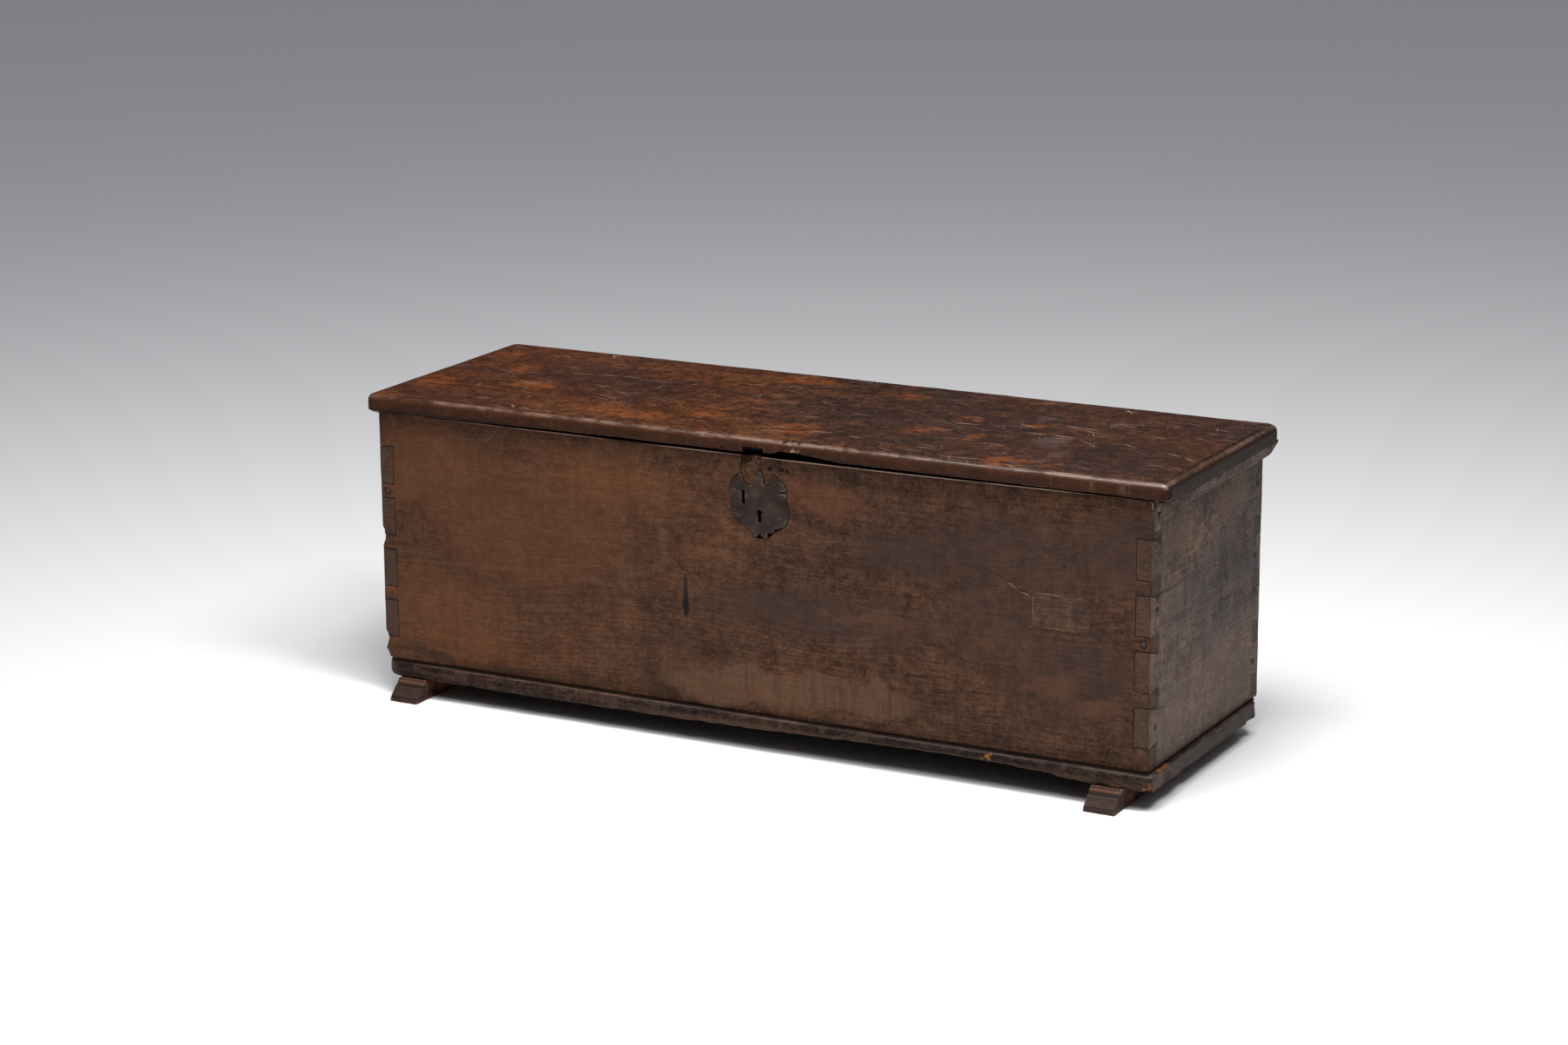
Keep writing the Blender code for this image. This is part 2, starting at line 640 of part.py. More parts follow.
def cleat_outline():
    """A cleat seen from the side: sloped up to a thin tip at both ends."""
    front = LID_FRONT + CLEAT_FRONT_SETBACK
    rear = CASE_DEPTH - CLEAT_REAR_SETBACK
    sloped = [(front, CLEAT_HEIGHT), (front, CLEAT_HEIGHT - CLEAT_TIP_HEIGHT)]
    for run, height in CLEAT_SLOPE_SHARES:
        sloped.append((front + CLEAT_END_SLOPE * run, (CLEAT_HEIGHT - CLEAT_TIP_HEIGHT) * height))
    mirrored = [(front + rear - depth, height) for depth, height in reversed(sloped)]
    return sloped + mirrored


def cleat_band(end):
    """The inner and the outer face of a cleat, as places along the lid."""
    reach = LID_RIGHT_REACH if end > 0 else LID_LEFT_REACH
    inner = HALF_LENGTH + CLEAT_CLEARANCE
    outer = HALF_LENGTH + reach - CLEAT_INSET
    return end * inner, end * outer


def make_cleat(bench, name, end):
    inner, outer = cleat_band(end)
    cleat = slab(name, cleat_outline(), abs(outer - inner))
    place = ((inner + outer) / 2, 0, LID_BOTTOM - GAP - CLEAT_HEIGHT)
    return bench.place(cleat, bench.walnut, bench.lid_frame, place, FACING_SIDE)


# The runner feet


def foot_outline():
    """A runner seen from the side: the moulded front end, then straight to a square rear end."""
    front = [
        (TOE_FRONT + FOOT_MOULDING_RUN * run, FOOT_HEIGHT * rise) for run, rise in FOOT_MOULDING_SHARES]
    return front + [(CASE_DEPTH, FOOT_HEIGHT), (CASE_DEPTH, 0)]


def foot_middle(end):
    return end * (HALF_LENGTH - FOOT_INSET - FOOT_WIDTH / 2)


def make_foot(bench, name, end):
    foot = slab(name, foot_outline(), FOOT_WIDTH)
    return bench.place(foot, bench.foot_wood, bench.case_frame, (foot_middle(end), 0, 0), FACING_SIDE)


# The lock


def plate_outline():
    """The scalloped edge, stretch after stretch."""
    edge = []
    for stretch in PLATE_EDGE_SHARES:
        edge += smooth_stretch(stretch, PLATE_SMOOTH_STEPS)
    return [(across * PLATE_HALF_WIDTH, up * PLATE_HALF_HEIGHT) for across, up in edge]


def keyhole_outline():
    """A round eye with a straight slot below it."""
    half_slot = KEYHOLE_SLOT_WIDTH / 2
    start = math.asin(half_slot / KEYHOLE_RADIUS)
    steps = 3 * ARC_STEPS
    outline = []
    for i in range(steps + 1):
        angle = -math.pi / 2 + start + (2 * math.pi - 2 * start) * i / steps
        outline.append((
            KEYHOLE_PLACE + KEYHOLE_RADIUS * math.cos(angle),
            KEYHOLE_RADIUS * math.sin(angle) - KEYHOLE_DROP))
    outline.append((KEYHOLE_PLACE - half_slot, -KEYHOLE_SLOT_DROP))
    outline.append((KEYHOLE_PLACE + half_slot, -KEYHOLE_SLOT_DROP))
    return outline


def staple_slot_outline():
    across = STAPLE_SLOT_WIDTH / 2
    up = STAPLE_SLOT_HEIGHT / 2
    signs = ((-1, -1), (1, -1), (1, 1), (-1, 1))
    return [(STAPLE_SLOT_PLACE + x * across, STAPLE_SLOT_RISE + z * up) for x, z in signs]


def make_lock_plate(bench):
    plate = slab("lock_plate", plate_outline(), PLATE_THICKNESS)
    place = PLATE_MIDDLE + Vector((0, -GAP - PLATE_THICKNESS / 2, 0))
    bench.place(plate, bench.iron, bench.case_frame, place, FACING_FRONT)
    for name, outline in (("keyhole", keyhole_outline()), ("staple_slot", staple_slot_outline())):
        opening = slab(name, outline, PLATE_THICKNESS + CUT_OVERRUN)
        cut(plate, bench.place_cutter(opening, place, FACING_FRONT))
    return plate


def cut_mortise(bench, board):
    """The pocket for the lock, open to the front and hidden by the plate."""
    depth = MORTISE_DEPTH + CUT_OVERRUN
    pocket = box("lock_mortise", (2 * MORTISE_HALF_WIDTH, depth, MORTISE_RISE + MORTISE_DROP))
    bench.place_cutter(pocket, PLATE_MIDDLE + Vector((
        0, MORTISE_DEPTH - depth / 2, (MORTISE_RISE - MORTISE_DROP) / 2)))
    cut(board, pocket)


def bolt_front():
    """The depth of the bolt's front face behind the plate."""
    return GUIDE_WALL / 2


def bolt_outline():
    """The bolt seen from the front: a bar with a block below it, notched for the key."""
    top = STAPLE_SLOT_RISE + BOLT_HEIGHT / 2
    bottom = STAPLE_SLOT_RISE - BOLT_HEIGHT / 2
    low = bottom - BOLT_BLOCK_DROP
    tip = BOLT_TIP_PLACE
    tail = BOLT_TIP_PLACE + BOLT_LENGTH
    left = BOLT_BLOCK_PLACE - BOLT_BLOCK_LENGTH / 2
    right = BOLT_BLOCK_PLACE + BOLT_BLOCK_LENGTH / 2
    talon_left = BOLT_BLOCK_PLACE - BOLT_TALON_WIDTH / 2
    talon_right = BOLT_BLOCK_PLACE + BOLT_TALON_WIDTH / 2
    return [
        (tip, top), (tip, bottom), (left, bottom), (left, low), (talon_left, low), (talon_left, bottom),
        (talon_right, bottom), (talon_right, low), (right, low), (right, bottom), (tail, bottom),
        (tail, top),
    ]


def make_bolt(bench):
    bolt = slab("lock_bolt", bolt_outline(), BOLT_THICKNESS)
    place = PLATE_MIDDLE + Vector((0, bolt_front() + BOLT_THICKNESS / 2, 0))
    return bench.place(bolt, bench.iron, bench.bolt_frame, place, FACING_FRONT)


def guide_outline():
    """A bolt guide seen from the side: a bridge over the bolt, its two feet against the plate."""
    reach = bolt_front() + BOLT_THICKNESS + BOLT_RUN_CLEARANCE
    inner = BOLT_HEIGHT / 2 + BOLT_RUN_CLEARANCE
    outer = inner + GUIDE_WALL
    back = reach + GUIDE_WALL
    return [
        (0, -outer), (back, -outer), (back, outer), (0, outer),
        (0, inner), (reach, inner), (reach, -inner), (0, -inner),
    ]


def make_guide(bench, name, place):
    guide = slab(name, guide_outline(), GUIDE_WIDTH)
    seat = PLATE_MIDDLE + Vector((place, 0, STAPLE_SLOT_RISE))
    return bench.place(guide, bench.iron, bench.case_frame, seat, FACING_SIDE)


def spring_outline():
    """A bowed leaf: its ends under the mortise's roof, its belly on the bolt."""
    roof = MORTISE_RISE - GAP
    belly = STAPLE_SLOT_RISE + BOLT_HEIGHT / 2 + GAP
    sag = roof - SPRING_THICKNESS - belly
    steps = 2 * ARC_STEPS
    lower = []
    for i in range(steps + 1):
        share = 2 * i / steps - 1
        lower.append((SPRING_LENGTH / 2 * share, belly + sag * share ** 2))
    upper = [(across, up + SPRING_THICKNESS) for across, up in reversed(lower)]
    return lower + upper


def make_spring(bench):
    spring = slab("lock_spring", spring_outline(), BOLT_THICKNESS)
    middle = sum(GUIDE_PLACES) / len(GUIDE_PLACES)
    place = PLATE_MIDDLE + Vector((middle, bolt_front() + BOLT_THICKNESS / 2, 0))
    return bench.place(spring, bench.iron, bench.case_frame, place, FACING_FRONT)


# The split-pin hinges: each is a bent wire with an eye, two legs side by side and clenched ends


def eye_points(centre, along, lateral, radius):
    """The eye's arc, from one leg round to the other."""
    points = []
    for i in range(EYE_STEPS + 1):
        angle = EYE_OPENING + (2 * math.pi - 2 * EYE_OPENING) * i / EYE_STEPS
        points.append(centre + radius * (math.cos(angle) * along + math.sin(angle) * lateral))
    return points


def pin_legs(eye_centre, along, lateral, radius, face_normal, face_point):
    """Where each leg starts at the eye, where it is bent over and which way it is clenched."""
    spread = HINGE_WIRE_RADIUS + HINGE_LEG_GAP / 2
    closing = radius * math.sin(EYE_OPENING) - spread
    neck = radius * math.cos(EYE_OPENING) + closing * math.tan(EYE_OPENING)
    legs = []
    for sign in (1, -1):
        start = eye_centre + along * neck + lateral * sign * spread
        to_bend = (face_point - start).dot(face_normal) - CLENCH_SINK
        legs.append((start, start + along * (to_bend / along.dot(face_normal)), Vector((sign, 0, 0))))
    return legs


def leg_points(start, corner, clench, along):
    """One leg from its neck to its tip: straight, bent over, then flat along the board."""
    points = [start]
    for i in range(BEND_STEPS + 1):
        angle = math.pi / 2 * i / BEND_STEPS
        back = CLENCH_BEND_RADIUS * (1 - math.sin(angle))
        out = CLENCH_BEND_RADIUS * (1 - math.cos(angle))
        points.append(corner - along * back + clench * out)
    points.append(corner + clench * CLENCH_LENGTH)
    return points


def split_pin(bench, name, board, eye_centre, along, lateral, radius, face_normal, face_point):
    """A hinge pin whose legs run through a board and are clenched along X, sunk in its far face."""
    legs = []
    for start, corner, clench in pin_legs(eye_centre, along, lateral, radius, face_normal, face_point):
        legs.append(leg_points(start, corner, clench, along))
        cut(board, clench_groove(bench, f"{name}_groove_{len(legs)}", corner, clench, face_normal))
    path = list(reversed(legs[0])) + eye_points(eye_centre, along, lateral, radius) + legs[1]
    curve = bpy.data.curves.new(name, "CURVE")
    curve.dimensions = "3D"
    curve.bevel_depth = HINGE_WIRE_RADIUS
    curve.bevel_resolution = 2
    curve.use_fill_caps = True
    add_points(curve, path)
    pin = mesh_of_curve(name, curve)
    pin.data.shade_smooth()
    pin.data.set_sharp_from_angle(angle=SMOOTH_BELOW)
    return pin


def pin_hole(bench, name, place, along, wide_along_x):
    """A slot through a board for the two legs of a pin."""
    wide = 2 * (2 * HINGE_WIRE_RADIUS + HINGE_LEG_GAP / 2 + HINGE_HOLE_CLEARANCE)
    narrow = 2 * (HINGE_WIRE_RADIUS + HINGE_HOLE_CLEARANCE)
    length = 2 * (HINGE_STANDOFF + SIDE_THICKNESS + LID_THICKNESS)
    size = (wide, narrow, length) if wide_along_x else (narrow, wide, length)
    hole = box(name, size)
    turn = Vector((0, 0, 1)).rotation_difference(along).to_euler()
    reach = HINGE_STANDOFF / 2
    return bench.place_cutter(hole, place + along * (reach + length / 2), turn)


def clench_groove(bench, name, corner, clench, face_normal):
    """A groove in a board's face, in which one clenched leg lies."""
    half = HINGE_WIRE_RADIUS + HINGE_HOLE_CLEARANCE
    length = CLENCH_LENGTH + HINGE_HOLE_CLEARANCE + half
    depth = half + CLENCH_SINK + CUT_OVERRUN
    size = (length, depth, 2 * half) if face_normal.y else (length, 2 * half, depth)
    middle = corner + clench * (length / 2 - half) + face_normal * (depth / 2 - half)
    return bench.place_cutter(box(name, size), middle)


def make_hinge(bench, hand, place, lid, back):
    """Two interlocked pins: the lid's eye turns about the bight of the case's eye."""
    axis = Vector((place, HINGE_AXIS.y, HINGE_AXIS.z))
    up_front = Vector((0, -math.cos(HINGE_SLOPE), math.sin(HINGE_SLOPE)))
    down_front = Vector((0, -math.cos(HINGE_SLOPE), -math.sin(HINGE_SLOPE)))
    square_to_lid_pin = Vector((0, math.sin(HINGE_SLOPE), math.cos(HINGE_SLOPE)))
    lid_pin = split_pin(
        bench, f"hinge_pin_lid_{hand}", lid, axis, up_front, square_to_lid_pin, LID_EYE_RADIUS,
        Vector((0, 0, 1)), Vector((0, 0, LID_TOP)))
    lid_pin.data.transform(Matrix.Translation(-axis))
    bench.place(lid_pin, bench.iron, bench.lid_frame, axis)
    case_pin = split_pin(
        bench, f"hinge_pin_case_{hand}", back, axis + down_front * CASE_EYE_RADIUS, down_front,
        Vector((1, 0, 0)), CASE_EYE_RADIUS, Vector((0, -1, 0)),
        Vector((0, CASE_DEPTH - SIDE_THICKNESS, 0)))
    case_pin.data.transform(Matrix.Translation(-axis))
    bench.place(case_pin, bench.iron, bench.case_frame, axis)
    cut(lid, pin_hole(bench, f"lid_pin_hole_{hand}", axis, up_front, False))
    cut(back, pin_hole(bench, f"case_pin_hole_{hand}", axis, down_front, True))


# The let-in patches and the splintered edge


def let_in(bench, name, board, length, height, centre, out, turn):
    """A patch let into a board's face, with its recess cut a gap larger."""
    thickness = PATCH_THICKNESS + PATCH_STANDS_PROUD
    patch = box(name, (length, thickness, height))
    bench.place(patch, bench.patch_wood, bench.case_frame,
                centre + out * (PATCH_STANDS_PROUD - thickness / 2), turn)
    depth = PATCH_THICKNESS + GAP + CUT_OVERRUN
    recess = box(name + "_recess", (length + 2 * GAP, depth, height + 2 * GAP))
    bench.place_cutter(recess, centre + out * (CUT_OVERRUN - depth / 2), turn)
    cut(board, recess)
    return patch


def make_patches(bench, front, right_end):
    let_in(bench, "front_patch", front, FRONT_PATCH_LENGTH, FRONT_PATCH_HEIGHT,
           Vector((HALF_LENGTH - FRONT_PATCH_INSET, 0, CASE_BOTTOM + FRONT_PATCH_RISE)),
           Vector((0, -1, 0)), (0, FRONT_PATCH_TILT, 0))
    let_in(bench, "side_patch", right_end, SIDE_PATCH_LENGTH, SIDE_PATCH_HEIGHT,
           Vector((HALF_LENGTH, SIDE_PATCH_PLACE, CASE_BOTTOM + SIDE_PATCH_RISE)),
           Vector((1, 0, 0)), (0, 0, math.pi / 2))


def cut_splintered_edge(bench, board):
    """A wedge out of the front board's top edge, where the wood has splintered away."""
    outline = [
        (-CUT_OVERRUN, CUT_OVERRUN), (SPLINTERED_DEPTH, CUT_OVERRUN), (SPLINTERED_DEPTH, 0),
        (0, -SPLINTERED_HEIGHT), (-CUT_OVERRUN, -SPLINTERED_HEIGHT),
    ]
    wedge = slab("splintered_wedge", outline, SPLINTERED_WIDTH)
    bench.place_cutter(wedge, (SPLINTERED_PLACE, 0, CASE_TOP), FACING_SIDE)
    cut(board, wedge)


# Nails: turned profiles, each in its own holes


def nail(name, size):
    """A nail with its head's underside at the origin and its shank down local Z."""
    head_radius, head_height, shank_radius, length = size
    profile = [(head_radius * across, head_height * up) for across, up in NAIL_HEAD_SHARES]
    profile += [(shank_radius, 0), (shank_radius * NAIL_POINT_SHARE, -length), (0, -length)]
    bm = bmesh.new()
    ring = [bm.verts.new((across, 0, up)) for across, up in profile]
    for start, end in zip(ring, ring[1:]):
        bm.edges.new((start, end))
    piece = bpy.data.objects.new(name, mesh_from(bm, name))
    turning = piece.modifiers.new("turned", "SCREW")
    turning.axis = "Z"
    turning.steps = NAIL_SIDES
    turning.render_steps = NAIL_SIDES
    turning.use_smooth_shade = True
    turning.use_merge_vertices = True
    turning.merge_threshold = MERGE_DISTANCE
    return piece


class Nailing:
    """Makes nails and gathers their holes, so that each board gets one cutter for all of them."""

    def __init__(self, bench):
        self.bench = bench
        self.holes = {}

    def drive(self, name, size, seat, out, boards, frame):
        """Drive a nail at a seat on a face, pointing out of it, through the boards named."""
        turn = Vector((0, 0, 1)).rotation_difference(Vector(out))
        place = Vector(seat) + Vector(out) * GAP
        piece = nail(name, size)
        self.bench.place(piece, self.bench.iron, frame, place, turn.to_euler())
        radius = (size[2] + NAIL_CLEARANCE) / math.cos(math.pi / NAIL_SIDES)
        deep = size[3] + GAP + NAIL_CLEARANCE
        high = GAP + CUT_OVERRUN / 2
        middle = place + Vector(out) * (high - deep) / 2
        matrix = Matrix.Translation(middle) @ turn.to_matrix().to_4x4()
        for board in boards:
            bm = self.holes.setdefault(board.name, (board, bmesh.new()))[1]
            rod_into(bm, radius, deep + high, NAIL_SIDES, matrix)

    def cut_holes(self):
        for board, bm in self.holes.values():
            name = board.name + "_nail_holes"
            cutter = bpy.data.objects.new(name, mesh_from(bm, name))
            self.bench.place_cutter(cutter, (0, 0, 0))
            cut(board, cutter)


def drive_plate_nails(nailing, plate, front):
    face = -GAP - PLATE_THICKNESS
    for number, (across, up) in enumerate(PLATE_NAIL_SHARES, 1):
        seat = (PLATE_MIDDLE.x + across * PLATE_HALF_WIDTH, face, PLATE_MIDDLE.z + up * PLATE_HALF_HEIGHT)
        nailing.drive(f"plate_nail_{number}", PLATE_NAIL, seat, (0, -1, 0), (plate, front),
                      nailing.bench.case_frame)


def drive_corner_nails(nailing, ends, front, back):
    """Nails through the ends into the front and back boards, and one in the front face at each end."""
    for end, hand in ((-1, "left"), (1, "right")):
        rows = (
            ("front", FRONT_CORNER_NAIL_SHARES, CORNER_NAIL_INSET, front),
            ("rear", REAR_CORNER_NAIL_SHARES, CASE_DEPTH - CORNER_NAIL_INSET, back),
        )
        for row, shares, depth, side in rows:
            for number, share in enumerate(shares, 1):
                seat = (end * HALF_LENGTH, depth, CASE_BOTTOM + share * CASE_HEIGHT)
                nailing.drive(f"corner_nail_{hand}_{row}_{number}", CORNER_NAIL, seat, (end, 0, 0),
                              (ends[end], side), nailing.bench.case_frame)
    for (end, hand), pin in zip(((-1, "left"), (1, "right")), FACE_NAIL_PINS):
        height = LOWEST_TAIL + pin * TAIL_PITCH - (TAIL_PITCH - TAIL_HEIGHT) / 2
        seat = (end * (HALF_LENGTH - FACE_NAIL_INSET), 0, CASE_BOTTOM + height)
        nailing.drive(f"face_nail_{hand}", FACE_NAIL, seat, (0, -1, 0), (front, ends[end]),
                      nailing.bench.case_frame)


def drive_cleat_nails(nailing, cleats, lid):
    for end, hand in ((-1, "left"), (1, "right")):
        inner, outer = cleat_band(end)
        for number, share in enumerate(CLEAT_NAIL_SHARES, 1):
            seat = ((inner + outer) / 2, share * CASE_DEPTH, LID_BOTTOM - GAP - CLEAT_HEIGHT)
            nailing.drive(f"cleat_nail_{hand}_{number}", CLEAT_NAIL, seat, (0, 0, -1),
                          (cleats[end], lid), nailing.bench.lid_frame)


def drive_base_nails(nailing, base, front, back):
    rows = (("front", SIDE_THICKNESS / 2, front), ("rear", CASE_DEPTH - SIDE_THICKNESS / 2, back))
    for row, depth, board in rows:
        for number, share in enumerate(BASE_NAIL_SHARES, 1):
            seat = (share * HALF_LENGTH, depth, BASE_BOTTOM)
            nailing.drive(f"base_nail_{row}_{number}", BASE_NAIL, seat, (0, 0, -1), (base, board),
                          nailing.bench.case_frame)


def drive_foot_nails(nailing, feet, base):
    for end, hand in ((-1, "left"), (1, "right")):
        for number, share in enumerate(FOOT_NAIL_SHARES, 1):
            seat = (foot_middle(end), share * CASE_DEPTH, BASE_TOP)
            nailing.drive(f"foot_nail_{hand}_{number}", FOOT_NAIL, seat, (0, 0, 1), (base, feet[end]),
                          nailing.bench.case_frame)


def make_chest():
    bench = Bench()
    front = make_side_board(bench, "front_board", -1)
    back = make_side_board(bench, "back_board", 1)
    ends = {-1: make_end_board(bench, "left_end_board", -1), 1: make_end_board(bench, "right_end_board", 1)}
    base = make_base_board(bench)
    lid = make_lid_board(bench)
    cleats = {-1: make_cleat(bench, "lid_cleat_left", -1), 1: make_cleat(bench, "lid_cleat_right", 1)}
    feet = {-1: make_foot(bench, "foot_left", -1), 1: make_foot(bench, "foot_right", 1)}
    plate = make_lock_plate(bench)
    cut_mortise(bench, front)
    make_bolt(bench)
    for name, place in zip(("lock_guide_left", "lock_guide_right"), GUIDE_PLACES):
        make_guide(bench, name, place)
    make_spring(bench)
    for hand, share in zip(("left", "middle", "right"), HINGE_PLACE_SHARES):
        make_hinge(bench, hand, share * HALF_LENGTH, lid, back)
    make_patches(bench, front, ends[1])
    cut_splintered_edge(bench, front)
    nailing = Nailing(bench)
    drive_plate_nails(nailing, plate, front)
    drive_corner_nails(nailing, ends, front, back)
    drive_cleat_nails(nailing, cleats, lid)
    drive_base_nails(nailing, base, front, back)
    drive_foot_nails(nailing, feet, base)
    nailing.cut_holes()


make_chest()
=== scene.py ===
import math
import random

import bmesh
import bpy
from mathutils import Matrix, Vector, noise


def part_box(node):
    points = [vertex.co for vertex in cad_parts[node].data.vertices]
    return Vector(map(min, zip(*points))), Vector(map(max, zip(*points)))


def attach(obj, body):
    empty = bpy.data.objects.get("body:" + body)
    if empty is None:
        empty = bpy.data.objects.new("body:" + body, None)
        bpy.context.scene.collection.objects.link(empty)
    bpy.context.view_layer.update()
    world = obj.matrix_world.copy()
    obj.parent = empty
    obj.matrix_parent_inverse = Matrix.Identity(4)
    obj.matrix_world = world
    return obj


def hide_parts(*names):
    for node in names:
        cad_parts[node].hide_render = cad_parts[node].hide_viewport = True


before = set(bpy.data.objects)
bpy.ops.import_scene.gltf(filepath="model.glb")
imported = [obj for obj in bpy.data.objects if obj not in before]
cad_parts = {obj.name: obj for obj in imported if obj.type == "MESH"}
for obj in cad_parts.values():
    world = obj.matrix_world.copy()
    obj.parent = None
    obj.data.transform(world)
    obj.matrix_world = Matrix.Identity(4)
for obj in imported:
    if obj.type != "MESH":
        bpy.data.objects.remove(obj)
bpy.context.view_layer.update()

# The case's frame: x from its left end, y from its front face, z from its underside
CASE_LOW, CASE_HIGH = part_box("front_board")[0], Vector(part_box("back_board")[1])
CASE = CASE_HIGH - CASE_LOW
LID_LOW, LID_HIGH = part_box("lid_board")
LID_FRONT, LID_BOTTOM = (LID_LOW - CASE_LOW).yz
LID_RIGHT, LID_TOP = (LID_HIGH - CASE_LOW).xz
LID_ROUND = 0.0048
HASP_MIDDLE = 0.6943
BASE_FRONT, BASE_RIGHT = -0.0155, CASE.x + 0.0105
SIDE_THICKNESS, END_THICKNESS = 0.028, 0.025
LOWEST_TAIL, TAIL_PITCH, TAIL_HEIGHT, TAIL_COUNT = 0.0365, 0.0857, 0.063, 4
TAIL_SLOPE = 0.006 / SIDE_THICKNESS
RING_WIDTH = 0.0085
MM = 0.001
ORIGIN = Vector((0, 0, 0))
# The height of a nail's head over its radius
HEAD_HEIGHT = 0.42
# The camera's focal length and the picture's width
FOCAL_PIXELS, PICTURE_PIXELS = 4302.6, 1800


def tone(colour):
    """A colour written as screen values from 0 to 255, as linear light."""
    levels = [value / 255 for value in colour]
    linear = [v / 12.92 if v <= 0.04045 else ((v + 0.055) / 1.055) ** 2.4 for v in levels]
    return (*linear, 1)


# Finishes: their colours are written as screen values


class Nodes:
    """A tree of nodes that is built here."""

    def __init__(self, tree):
        self.tree = tree

    def add(self, kind, settings=(), sockets=()):
        """Add a node: its settings first, then the values or links of its sockets."""
        node = self.tree.nodes.new(kind)
        for name, value in dict(settings).items():
            setattr(node, name, value)
        for key, value in dict(sockets).items():
            self.feed(node.inputs[key], value)
        return node

    def feed(self, socket, value):
        value = getattr(value, "socket", value)
        if isinstance(value, bpy.types.NodeSocket):
            self.tree.links.new(value, socket)
        else:
            socket.default_value = value

    def ramp(self, value, *stops):
        """The colour at a value between stops, each a place and a linear colour."""
        node = self.add("ShaderNodeValToRGB", {}, {0: value})
        elements = node.color_ramp.elements
        while len(elements) < len(stops):
            elements.new(1)
        for element, (position, colour) in zip(elements, stops):
            element.position, element.color = position, colour
        return node.outputs[0]


class Value:
    """A number that varies over a surface: each operator adds its Math node."""

    def __init__(self, finish, socket):
        self.finish = finish
        self.socket = socket

    def __add__(self, other):
        return self.finish.maths("ADD", self, other)

    __radd__ = __add__

    def __sub__(self, other):
        return self.finish.maths("SUBTRACT", self, other)

    def __rsub__(self, other):
        return self.finish.maths("SUBTRACT", other, self)

    def __mul__(self, other):
        return self.finish.maths("MULTIPLY", self, other)

    def __abs__(self):
        return self.finish.maths("ABSOLUTE", self)


class Finish(Nodes):
    """One material, built up from nodes around its Principled shader."""

    def __init__(self, name, roughness=0.5, metallic=0):
        self.material = bpy.data.materials.new(name)
        self.material.use_nodes = True
        super().__init__(self.material.node_tree)
        self.shader = self.tree.nodes["Principled BSDF"]
        for label, value in (("Roughness", roughness), ("Metallic", metallic), ("Specular IOR Level", 0.07)):
            self.shader.inputs[label].default_value = value
        self.place = self.add("ShaderNodeTexCoord").outputs["Object"]
        outputs = self.add("ShaderNodeSeparateXYZ", {}, {0: self.place}).outputs
        self.world = [Value(self, output) for output in outputs]
        self.x, self.y, self.z = self.case = [value - start for value, start in zip(self.world, CASE_LOW)]

    def maths(self, operation, *values):
        node = self.add("ShaderNodeMath", {"operation": operation}, dict(enumerate(values)))
        return Value(self, node.outputs[0])

    def lesser(self, a, b):
        return self.maths("MINIMUM", a, b)

    def greater(self, a, b):
        return self.maths("MAXIMUM", a, b)

    def noise(self, scales, detail=3, rough=0.55, shift=(0, 0, 0), turn=0):
        """Noise with one scale or three per metre, shifted by metres and turned flat by degrees."""
        if not isinstance(scales, tuple):
            scales = (scales,) * 3
        mapped = self.add("ShaderNodeMapping", {"vector_type": "TEXTURE"}, {
            "Vector": self.place, "Location": shift, "Rotation": (0, 0, math.radians(turn)),
            "Scale": [1 / scale for scale in scales]}).outputs[0]
        node = self.add("ShaderNodeTexNoise", {}, {
            "Vector": mapped, "Scale": 1, "Detail": detail, "Roughness": rough})
        return Value(self, node.outputs["Fac"])

    def step(self, value, start, end, height=1):
        """Smoothly from 0 at the start to the height at the end, which may lie below it."""
        low, high = (0, height) if start < end else (height, 0)
        node = self.add("ShaderNodeMapRange", {"interpolation_type": "SMOOTHSTEP"}, {
            "Value": value, "From Min": min(start, end), "From Max": max(start, end), "To Min": low, "To Max": high})
        return Value(self, node.outputs[0])

    def shades(self, value, *stops):
        return self.ramp(value, *[(position, tone(colour)) for position, colour in stops])

    def mix(self, first, second, share):
        colours = [tone(colour) if isinstance(colour, tuple) else colour for colour in (first, second)]
        return self.add("ShaderNodeMix", {"data_type": "RGBA"}, {0: share, 6: colours[0], 7: colours[1]}).outputs[2]

    def attribute(self, name):
        return Value(self, self.add("ShaderNodeAttribute", {"attribute_name": name}).outputs["Fac"])

    def dress(self, colour, roughness, height):
        """Send the colour, the roughness and a relief in millimetres to the shader."""
        self.feed(self.shader.inputs["Base Color"], colour)
        self.feed(self.shader.inputs["Roughness"], roughness)
        bump = self.add("ShaderNodeBump", {}, {"Strength": 1, "Distance": MM, "Height": height})
        self.feed(self.shader.inputs["Normal"], bump.outputs[0])
        return self.material

    def sheen(self, share, roughness):
        """A polished film over the parts that hands have rubbed."""
        self.feed(self.shader.inputs["Coat Weight"], share)
        self.shader.inputs["Coat Roughness"].default_value = roughness


